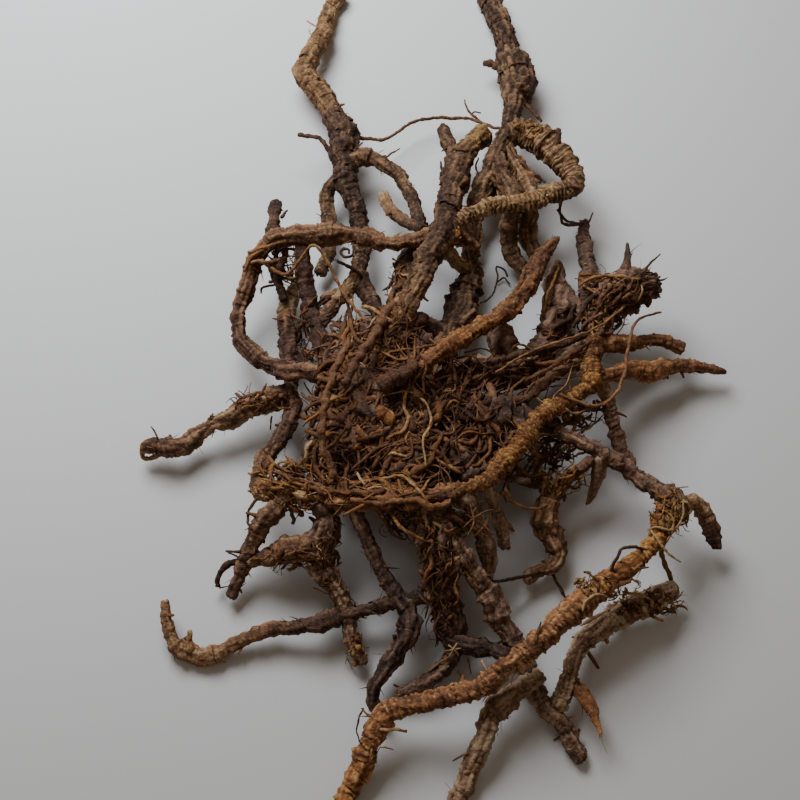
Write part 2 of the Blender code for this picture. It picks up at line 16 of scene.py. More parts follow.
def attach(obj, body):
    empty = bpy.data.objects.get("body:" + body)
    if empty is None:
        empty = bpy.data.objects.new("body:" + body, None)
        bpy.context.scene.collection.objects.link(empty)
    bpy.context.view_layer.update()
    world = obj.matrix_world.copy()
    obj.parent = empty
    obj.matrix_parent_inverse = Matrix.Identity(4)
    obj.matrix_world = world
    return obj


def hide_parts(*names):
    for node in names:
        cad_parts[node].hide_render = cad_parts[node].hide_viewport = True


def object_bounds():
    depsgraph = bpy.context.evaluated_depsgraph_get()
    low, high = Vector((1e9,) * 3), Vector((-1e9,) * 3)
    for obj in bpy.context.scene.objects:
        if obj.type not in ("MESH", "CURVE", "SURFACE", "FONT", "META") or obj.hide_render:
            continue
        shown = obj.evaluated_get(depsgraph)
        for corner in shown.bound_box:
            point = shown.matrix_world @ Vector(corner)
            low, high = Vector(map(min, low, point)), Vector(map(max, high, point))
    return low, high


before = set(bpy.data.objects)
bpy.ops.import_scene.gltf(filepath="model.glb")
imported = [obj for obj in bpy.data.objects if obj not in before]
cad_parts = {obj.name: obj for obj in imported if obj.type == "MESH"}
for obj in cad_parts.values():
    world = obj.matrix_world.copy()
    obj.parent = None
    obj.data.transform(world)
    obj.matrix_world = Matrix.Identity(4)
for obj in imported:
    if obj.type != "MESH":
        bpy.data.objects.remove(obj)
CAD_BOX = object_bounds()

bl_info = {
    "name": "Dried rhizome clump",
    "version": (1, 0, 0),
    "blender": (4, 5, 0),
    "location": "3D View > Sidebar > Rhizome",
    "description": "Makes the bark, rootlets and fibres of a dried rhizome clump, and a plain stage",
    "category": "Add Mesh",
}

MM = 0.001
NODE = "rhizome_clump"

# The eye that the routes were read from, as in the part's source
PIXEL = 0.36 * MM                 # what one pixel spans at the middle of the clump, at z = 0
FRAME_MIDDLE = 400.0              # pixels, across and down, half of the frame's 800
LENS = 50.0                       # millimetres
SENSOR = 36.0
FOCAL_PIXELS = 1111.0             # the lens over the sensor, times the frame's 800 pixels
EYE_TILT = math.radians(65.0)
LOOK_AT = np.array([-13.3, -25.0, 0.0]) * MM
FORWARD = np.array([0.0, math.cos(EYE_TILT), -math.sin(EYE_TILT)])
RIGHT = np.array([1.0, 0.0, 0.0])
UP = np.array([0.0, math.sin(EYE_TILT), math.cos(EYE_TILT)])
EYE = LOOK_AT - FORWARD * PIXEL * FOCAL_PIXELS
TOP = CAD_BOX[1][2]               # no rootlet stands higher than the solid

# Grid of the relief map, which tells how high the clump stands at each spot of the floor
MAP_STEP = 0.8 * MM
MAP_MARGIN = 12                   # cells round the clump's box
MAP_CELLS = tuple(math.ceil((CAD_BOX[1][axis] - CAD_BOX[0][axis]) / MAP_STEP) + 2 * MAP_MARGIN
                  for axis in (0, 1))
HEIGHT_TRIES = 110                # heights tried along a sight line

# Steps and least sizes
CROWN_STEP = 1.7                  # the mat hides the crown, so its steps are this many times as long
FINE_PITCH = 1.8                  # millimetres from ring to ring, under which steps are finer
FINE_STEP = 0.6
SIDES = (14, 56)                  # the fewest and most vertices round an arm
ROOT_STEP = 0.7 * MM
THINNEST_ARM = 0.3 * MM           # a radius, as the next two are
THINNEST_ROOT = 0.15 * MM
THINNEST_MAT_ROOT = 0.12 * MM
FULL_RELIEF_RADIUS = 2.8 * MM     # a thinner arm has lower relief
CREST_HEIGHT = 0.5 * MM           # relief that counts as a full crest
FLOOR_HEIGHT = -0.05 * MM         # just under the clump, so that the two don't share a plane

# First seeds of the random draws
SWAY_SEED = 500
BARK_SEED = 1000
TANGLE_SEED = 300
KNOB_SEED = 31
WANDER_SEEDS = (5, 6, 7)
HAIR_SEED = 51
SHRED_SEED = 52
STUB_SEED = 53

# What an arm's finish, a matted region and an arm's centre line hold
Finish = namedtuple("Finish", "group pitch rings folds grain shag colours")
Region = namedtuple("Region", "middle half heights count length width way stray warmth flakes")
Line = namedtuple("Line", "points radius warmth flakes length")

# Routes of the arms. A point is: pixels across, pixels down, height of the centre line over z = 0
# in millimetres, width in pixels.
ARMS = {
    "top_left_arm": [
        (340, -6, 2.8, 16), (327, 20, 5.0, 16), (322, 38, 7.0, 19), (315, 52, 8.5, 17), (305, 71, 10, 23),
        (314, 86, 11, 22), (327, 101, 12, 21), (334, 115, 13, 23), (343, 137, 14, 31), (345, 165, 13, 26),
        (348, 185, 12, 21), (357, 215, 11, 18), (362, 250, 12, 17), (353, 282, 15, 15), (336, 302, 18, 14),
        (319, 324, 19, 14)],
    "branch_under_loop": [
        (342, 172, 13, 14), (331, 186, 10, 13), (327, 206, 8, 12), (330, 228, 8, 13), (328, 258, 7, 13),
        (319, 275, 6, 13)],
    "bridge_branch": [
        (350, 158, 14, 16), (368, 158, 15, 17), (393, 171, 18, 13), (408, 190, 21, 12), (418, 216, 26, 12),
        (425, 230, 30, 14)],
    "pale_stub": [
        (383, 195, 12, 10), (389, 207, 14, 11), (398, 217, 18, 12), (410, 223, 24, 11), (424, 228, 29, 10)],
    "middle_arm": [
        (487, 132, 13, 23), (474, 144, 15, 19), (461, 157, 18, 21), (456, 178, 22, 26), (451, 200, 25, 24),
        (444, 226, 29, 24), (430, 255, 31, 24), (416, 285, 32, 23), (404, 310, 32, 22), (388, 345, 31, 20),
        (370, 385, 27, 20)],
    "short_twin": [(443, 127, 12, 12), (447, 142, 14, 13), (456, 162, 18, 13)],
    "top_right_arm": [
        (484, -6, 3.3, 19), (498, 20, 5, 19), (506, 40, 7, 21), (509, 56, 8.5, 25), (514, 68, 9.5, 32),
        (518, 80, 10, 37), (519, 88, 10.5, 36), (515, 96, 12, 22), (512, 115, 14, 16), (507, 136, 17, 17),
        (498, 152, 18, 20), (491, 175, 15, 24), (482, 196, 12, 20), (473, 220, 10, 17), (471, 250, 9, 17),
        (471, 270, 9.5, 19), (467, 291, 11, 29), (462, 309, 13, 32), (450, 335, 18, 26),
        (430, 385, 23, 20)],
    "ringed_hook": [
        (508, 135, 17, 20), (522, 133, 17, 24), (540, 141, 18, 28), (556, 153, 20, 27), (568, 165, 21, 25),
        (573, 176, 22, 20), (569, 187, 22.5, 19), (556, 192, 23.5, 17), (540, 198, 24, 17),
        (518, 204, 25, 16), (487, 207, 26, 15), (468, 214, 27, 14), (448, 228, 29, 14)],
    "hook_prop": [
        (496, 158, 18, 14), (506, 180, 20, 15), (514, 204, 21, 14), (509, 222, 15, 16), (511, 248, 9, 16),
        (524, 271, 6, 15)],
    "hook_root": [
        (506, 142, 17, 10), (518, 166, 19, 14), (530, 188, 20, 15), (533, 203, 20, 12), (529, 222, 13, 16),
        (531, 248, 7, 16), (538, 262, 6, 12)],
    "left_loop": [
        (430, 234, 31, 16), (408, 243, 32, 15), (388, 242, 32, 16), (360, 235, 31, 18), (330, 234, 30, 20),
        (300, 235, 28, 20), (275, 239, 25, 18), (259, 255, 22, 17), (249, 283, 18, 16), (239, 308, 15, 15),
        (238, 328, 14, 14), (248, 349, 15, 15), (266, 363, 18, 16), (290, 371, 22, 16), (312, 373, 25, 14),
        (330, 380, 25, 12)],
    "loop_stub": [(273, 242, 25, 13), (274, 222, 24, 13), (276, 202, 22, 12)],
    "dark_stem": [
        (302, 242, 26, 14), (304, 270, 21, 17), (309, 303, 18, 17), (319, 335, 20, 18), (338, 372, 22, 18)],
    "left_leg": [
        (297, 280, 9, 8), (289, 302, 9, 15), (286, 325, 9, 17), (289, 350, 10, 15), (292, 385, 12, 16),
        (292, 412, 13, 18), (279, 442, 15, 18), (263, 466, 16, 17), (258, 490, 17, 18), (272, 494, 19, 18)],
    "left_reach": [
        (141, 444, 8, 12), (154, 446, 8, 19), (172, 448, 8, 18), (200, 433, 9, 17), (230, 416, 11, 17),
        (256, 406, 12, 21), (273, 399, 13, 24), (290, 391, 12, 16)],
    "slant_arm": [
        (557, 238, 19, 8), (547, 250, 21, 13), (535, 268, 23, 18), (524, 292, 25, 20), (508, 311, 27, 18),
        (477, 329, 31, 17), (447, 347, 34, 17), (420, 368, 36, 18), (392, 396, 31, 18)],
    "waist_arm": [
        (440, 495, 33, 17), (468, 488, 33, 15), (487, 480, 33, 15), (503, 463, 32, 17), (525, 436, 30, 18),
        (545, 412, 28, 17), (569, 399, 26, 14), (588, 386, 25, 20), (592, 360, 23, 21), (597, 338, 21, 18)],
    "belt_arm": [
        (262, 490, 18, 18), (300, 496, 22, 19), (340, 500, 27, 19), (380, 501, 31, 20), (420, 499, 33, 20),
        (455, 493, 33, 19)],
    "upper_finger": [
        (594, 346, 21, 16), (612, 345, 18, 19), (632, 343, 15, 16), (655, 340, 13, 13), (685, 349, 11, 13)],
    "pointed_finger": [
        (588, 380, 24, 16), (610, 375, 21, 16), (632, 370, 17, 16), (652, 370, 14, 20), (675, 366, 11, 15),
        (703, 368, 8, 11), (726, 372, 6, 5)],
    "broken_head": [
        (590, 336, 20, 18), (598, 316, 21, 22), (610, 300, 22, 32), (626, 291, 23, 40), (642, 285, 22, 33),
        (655, 279, 20, 14)],
    "head_spike": [(622, 284, 24, 14), (627, 262, 25, 9), (628, 243, 25, 4)],
    "head_lump": [(612, 290, 23, 16), (620, 304, 19, 14), (624, 315, 17, 7)],
    "hidden_stub": [
        (584, 221, 7, 12), (584, 240, 8, 13), (587, 260, 10, 16), (589, 280, 13, 19), (588, 305, 17, 16),
        (594, 330, 20, 14)],
    "back_prop": [
        (596, 381, 22, 15), (608, 400, 17, 15), (613, 425, 12, 15), (622, 452, 8, 15), (632, 467, 6, 13)],
    "buried_arm": [
        (566, 330, 9, 13), (552, 351, 11, 16), (522, 364, 14, 18), (480, 370, 18, 18), (440, 392, 22, 18)],
    "buried_branch": [
        (440, 410, 24, 24), (478, 414, 22, 32), (510, 418, 20, 36), (538, 422, 20, 26), (560, 430, 20, 13)],
    "buried_low": [(430, 450, 22, 22), (480, 462, 17, 18), (525, 477, 12, 16), (556, 486, 15, 13)],
    "right_shoulder": [
        (540, 426, 20, 14), (568, 437, 21, 15), (600, 452, 20, 15), (620, 464, 18, 14), (642, 480, 17, 16),
        (657, 490, 18, 21), (674, 507, 19, 27), (662, 530, 20, 20)],
    "drooping_tip": [
        (678, 505, 19, 16), (696, 503, 17, 15), (706, 513, 14, 16), (712, 530, 10, 16), (718, 549, 7, 12)],
    "curled_leg": [
        (592, 458, 20, 11), (575, 473, 18, 12), (556, 488, 15, 15), (546, 503, 13, 23), (545, 520, 11, 25),
        (552, 537, 9, 22), (558, 551, 7, 18), (553, 564, 6, 16), (540, 570, 6, 14), (528, 576, 5, 11),
        (530, 584, 5, 7)],
    "hanging_root": [(597, 454, 20, 12), (598, 473, 15, 13), (594, 490, 11, 10), (587, 506, 8, 3)],
    "blunt_stub": [(488, 482, 30, 11), (495, 505, 24, 13), (501, 525, 19, 13), (505, 549, 15, 13)],
    "front_arm": [
        (676, 508, 19, 24), (664, 525, 20, 22), (653, 546, 21, 16), (640, 560, 22, 18), (622, 573, 22, 22),
        (600, 588, 22, 25), (578, 606, 22, 23), (553, 629, 22, 22), (525, 653, 21, 21), (500, 672, 20, 20),
        (480, 686, 18, 23), (462, 694, 17, 19), (430, 700, 15, 18), (400, 708, 13, 19), (384, 719, 12, 22),
        (373, 736, 10, 23), (364, 762, 7, 23), (352, 785, 4.0, 20), (340, 814, 2.5, 20)],
    "rear_runner": [
        (676, 586, 8, 16), (656, 601, 8, 25), (632, 609, 8, 25), (600, 628, 7, 21), (580, 648, 7, 16),
        (570, 670, 7, 15), (563, 694, 7, 18), (556, 710, 7, 16)],
    "splinter": [
        (569, 684, 7, 12), (582, 694, 8, 15), (591, 709, 8.5, 12), (597, 722, 9, 7), (602, 736, 9, 3)],
    "front_prop": [
        (541, 674, 10, 18), (520, 690, 10, 20), (503, 702, 10, 22), (491, 716, 9, 21), (484, 735, 8, 19),
        (474, 758, 6, 17), (467, 780, 4.0, 18), (456, 810, 2.5, 21)],
    "long_leg": [
        (440, 508, 30, 18), (455, 540, 25, 18), (471, 570, 20, 20), (492, 600, 15, 23), (507, 630, 12, 20),
        (523, 661, 10, 19), (532, 681, 9, 17), (540, 698, 7.5, 17), (550, 712, 6, 16), (562, 725, 4.5, 15),
        (570, 740, 3.2, 17), (578, 754, 2.4, 17), (582, 762, 2.2, 13)],
    "dark_prop": [
        (430, 500, 28, 34), (434, 528, 24, 42), (441, 558, 20, 42), (442, 586, 16, 34), (448, 615, 11, 26),
        (453, 645, 7, 20), (444, 668, 5, 17), (420, 684, 5, 13), (398, 694, 5, 8)],
    "bent_leg": [
        (396, 594, 14, 15), (407, 612, 13, 20), (407, 634, 12, 21), (398, 652, 9.5, 18), (386, 666, 8, 16),
        (377, 682, 7, 14), (373, 702, 5, 13), (384, 722, 4, 12)],
    "slim_leg": [
        (350, 499, 27, 15), (358, 520, 24, 15), (369, 545, 20, 15), (385, 576, 16, 14), (399, 600, 14, 14)],
    "fuzzy_leg": [
        (318, 502, 24, 20), (325, 525, 20, 26), (319, 550, 16, 26), (323, 570, 13, 24), (338, 590, 11, 18),
        (348, 612, 9, 15), (350, 636, 7, 13), (364, 664, 4.0, 12)],
    "lower_sweep": [
        (165, 600, 8, 9), (167, 622, 6, 12), (174, 643, 4.0, 15), (190, 655, 2.4, 17), (214, 656, 2.4, 17),
        (238, 642, 4.5, 14), (264, 631, 6, 12), (298, 627, 8, 15), (322, 622, 9, 18), (350, 613, 10, 15),
        (382, 606, 12, 14), (402, 600, 14, 14)],
    "claw_arm": [
        (291, 468, 24, 12), (284, 498, 24, 16), (264, 520, 18, 18), (251, 545, 12, 16), (243, 567, 8, 14),
        (231, 599, 4, 10)],
    "claw_branch": [(248, 562, 10, 13), (268, 557, 12, 18), (290, 552, 14, 24), (316, 546, 17, 24)],
    "crown_long": [
        (336, 345, 20, 38), (358, 380, 21, 60), (385, 415, 22, 68), (408, 450, 23, 64), (426, 488, 25, 46)],
    "crown_cross": [
        (306, 462, 18, 30), (340, 448, 19, 54), (388, 425, 21, 62), (432, 405, 22, 56), (468, 392, 21, 30)],
    "crown_top": [(352, 330, 22, 22), (378, 338, 24, 36), (404, 345, 24, 40), (430, 362, 23, 36)],
    "crown_side": [(440, 440, 24, 40), (462, 462, 24, 36), (478, 486, 25, 24)],
    "crown_link": [(402, 311, 27, 14), (427, 328, 22, 18), (456, 342, 14, 18)],
    "buried_stem": [
        (558, 262, 10, 10), (555, 285, 11, 20), (558, 310, 12, 32), (552, 334, 13, 27), (530, 361, 15, 20),
        (480, 378, 19, 18)],
    "dark_arch": [(448, 640, 8, 14), (470, 646, 10, 16), (492, 650, 11, 17), (514, 660, 12, 14)],
    "heart_stem": [
        (458, 492, 32, 18), (472, 508, 28, 19), (483, 532, 22, 18), (487, 556, 16, 16), (489, 579, 11, 10)],
    "under_mass": [(396, 506, 24, 22), (418, 515, 23, 28), (444, 522, 22, 30), (470, 520, 21, 26)],
    "leg_link": [(400, 600, 13, 12), (415, 598, 14, 12), (436, 597, 15, 12)],
    "rust_stub": [(564, 286, 13, 9), (574, 302, 16, 12), (586, 318, 19, 12)],
    "back_knob": [(492, 324, 16, 14), (502, 340, 18, 24), (510, 357, 17, 19), (518, 368, 14, 12)],
    "heart_low": [
        (440, 380, 20, 30), (470, 372, 15, 32), (505, 372, 12, 30), (538, 370, 10, 26), (566, 356, 12, 20),
        (588, 336, 15, 14)],
    "heart_middle": [(440, 446, 19, 38), (475, 442, 15, 42), (505, 436, 13, 34), (530, 424, 14, 22)],
    "back_root": [(534, 458, 20, 10), (540, 474, 18, 12), (550, 490, 16, 12)],
    "twin_stem": [
        (434, 229, 29, 13), (420, 240, 27, 15), (409, 260, 24, 19), (404, 284, 23, 18), (395, 306, 24, 18),
        (387, 328, 24, 16)],
    "neck_link": [(446, 247, 27, 17), (456, 263, 20, 13), (470, 270, 11, 14)],
    "hook_fan": [(499, 146, 14, 12), (508, 168, 14, 20), (516, 190, 15, 28), (519, 208, 16, 28)],
    "side_piece": [(361, 276, 13, 14), (366, 290, 15, 15), (372, 303, 18, 16), (384, 322, 23, 16)],
}

# Side twigs and thick roots
TWIGS = {
    "arm_spur": [(505, 66, 9, 10), (484, 63, 8, 6)],
    "claw_hook": [(246, 561, 9, 8), (228, 564, 8, 7), (219, 574, 6, 6), (217, 587, 4, 5)],
    "thick_root": [
        (592, 334, 20, 8), (568, 341, 21, 10), (545, 349, 22, 11), (520, 354, 26, 9), (492, 362, 28, 8)],
    "mat_root_left": [
        (349, 343, 38, 8), (333, 376, 39, 8), (324, 416, 38, 8), (322, 439, 36, 8), (335, 478, 31, 8)],
    "mat_root_middle": [
        (393, 304, 34, 10), (380, 324, 37, 10), (369, 344, 39, 10), (358, 358, 40, 9), (344, 385, 40, 8)],
    "mat_stub": [(380, 389, 39, 16), (396, 377, 40, 18), (416, 368, 39, 14)],
    "low_root": [
        (580, 362, 21, 12), (558, 373, 22, 12), (545, 383, 23, 11), (528, 397, 24, 8), (500, 402, 26, 7)],
    "strip_root": [(660, 530, 19, 8), (662, 552, 15, 7), (671, 580, 9, 7)],
    "frayed_root": [(366, 273, 13, 9), (348, 287, 15, 9), (322, 299, 17, 8)],
    "loop_twig": [(282, 258, 22, 8), (278, 280, 18, 8), (284, 302, 12, 8)],
    "tip_thorn": [(142, 444, 7, 5), (144, 458, 5, 5), (160, 455, 6, 6)],
    "sweep_bud": [(190, 652, 5, 9), (189, 630, 8, 5)],
    "hook_stub": [(556, 152, 22, 8), (560, 128, 26, 5)],
    "yellow_stub": [(455, 226, 27, 8), (468, 238, 24, 6), (479, 247, 21, 6)],
}

# Single rootlets that show on their own
ROOTLETS = {
    "long_arch": [
        (352, 136, 14, 5), (385, 139, 11, 4), (413, 122, 9, 4), (460, 118, 8, 4), (504, 130, 14, 4)],
    "pale_arch": [
        (262, 262, 22, 4), (284, 274, 22, 4), (314, 245, 33, 4), (342, 290, 26, 4), (368, 325, 27, 4)],
    "right_arch": [
        (661, 312, 22, 4), (638, 320, 23, 4), (628, 348, 23, 5), (624, 376, 23, 5), (612, 398, 24, 5),
        (598, 406, 25, 5), (576, 401, 28, 5), (560, 393, 29, 5)],
    "right_loop": [(612, 399, 23, 4), (590, 408, 25, 4), (572, 413, 27, 4), (562, 406, 28, 4)],
    "pale_strand": [
        (640, 292, 25, 4), (618, 312, 27, 4), (594, 329, 29, 4), (560, 341, 31, 4), (524, 355, 33, 4),
        (496, 372, 33, 4)],
    "grey_strand": [(600, 335, 24, 5), (580, 348, 26, 5), (556, 364, 27, 5), (526, 381, 28, 5)],
    "olive_strand": [(559, 264, 10, 6), (557, 272, 17, 5), (547, 298, 20, 5), (543, 318, 14, 6)],
    "drop_strand": [(566, 424, 22, 4), (552, 434, 21, 4), (528, 460, 20, 4)],
    "under_loop": [(500, 492, 26, 5), (525, 508, 22, 4), (550, 503, 16, 4), (568, 480, 17, 4)],
    "low_curl": [(545, 572, 7, 4), (520, 577, 9, 4), (492, 581, 14, 4), (474, 572, 19, 4)],
    "spur_left": [(332, 156, 13, 5), (322, 140, 15, 4), (298, 135, 14, 4)],
    "spur_right": [(516, 98, 12, 5), (530, 108, 13, 4), (542, 122, 12, 4)],
    "spur_low": [(510, 142, 16, 5), (518, 162, 14, 4), (541, 182, 11, 4)],
    "hook_tail": [(562, 190, 22, 4), (562, 222, 14, 4), (586, 224, 8, 4)],
    "front_curl": [
        (610, 580, 23, 5), (614, 563, 28, 4), (620, 551, 30, 4), (634, 547, 27, 4), (647, 550, 22, 4)],
    "front_prong": [(380, 730, 14, 5), (396, 729, 17, 4), (406, 731, 15, 4)],
    "prop_curl": [(436, 541, 27, 5), (414, 536, 30, 5), (400, 526, 32, 5), (389, 510, 31, 5)],
}

# Warmth, yellow flakes and share of the traced width: of most twigs, of most single rootlets, and of those
# that differ from them
TWIG_FINISH = (0.36, 0.2, 1.0)
ROOTLET_FINISH = (0.40, 0.2, 0.85)
ROOT_FINISH = {
    "long_arch": (0.42, 0.5, 0.85), "pale_arch": (0.66, 0.3, 0.85), "right_arch": (0.6, 0.3, 0.65),
    "right_loop": (0.6, 0.3, 0.6), "pale_strand": (0.66, 0.3, 0.6), "grey_strand": (0.42, 0.3, 0.85),
    "olive_strand": (0.72, 0.9, 0.6), "drop_strand": (0.4, 0.2, 0.85), "under_loop": (0.7, 0.4, 0.85),
    "front_curl": (0.3, 0.1, 0.85), "low_curl": (0.15, 0, 0.85), "prop_curl": (0.66, 0.8, 0.8),
    "front_prong": (0.8, 0.5, 0.85), "spur_low": (0.15, 0, 0.85), "loop_twig": (0.2, 0.1, 1),
    "frayed_root": (0.72, 0.3, 1), "sweep_bud": (0.8, 0.3, 1), "yellow_stub": (0.5, 0.45, 1.1),
    "low_root": (0.45, 0.15, 1), "strip_root": (0.55, 0.6, 0.7), "claw_hook": (0.22, 0.1, 1),
    "tip_thorn": (0.7, 0.4, 1), "thick_root": (0.24, 0.1, 0.8), "mat_root_left": (0.5, 0.2, 1),
    "mat_root_middle": (0.42, 0.2, 1), "mat_stub": (0.3, 0.2, 1), "hook_stub": (0.3, 0.2, 1),
    "spur_left": (0.26, 0.1, 1.1),
}

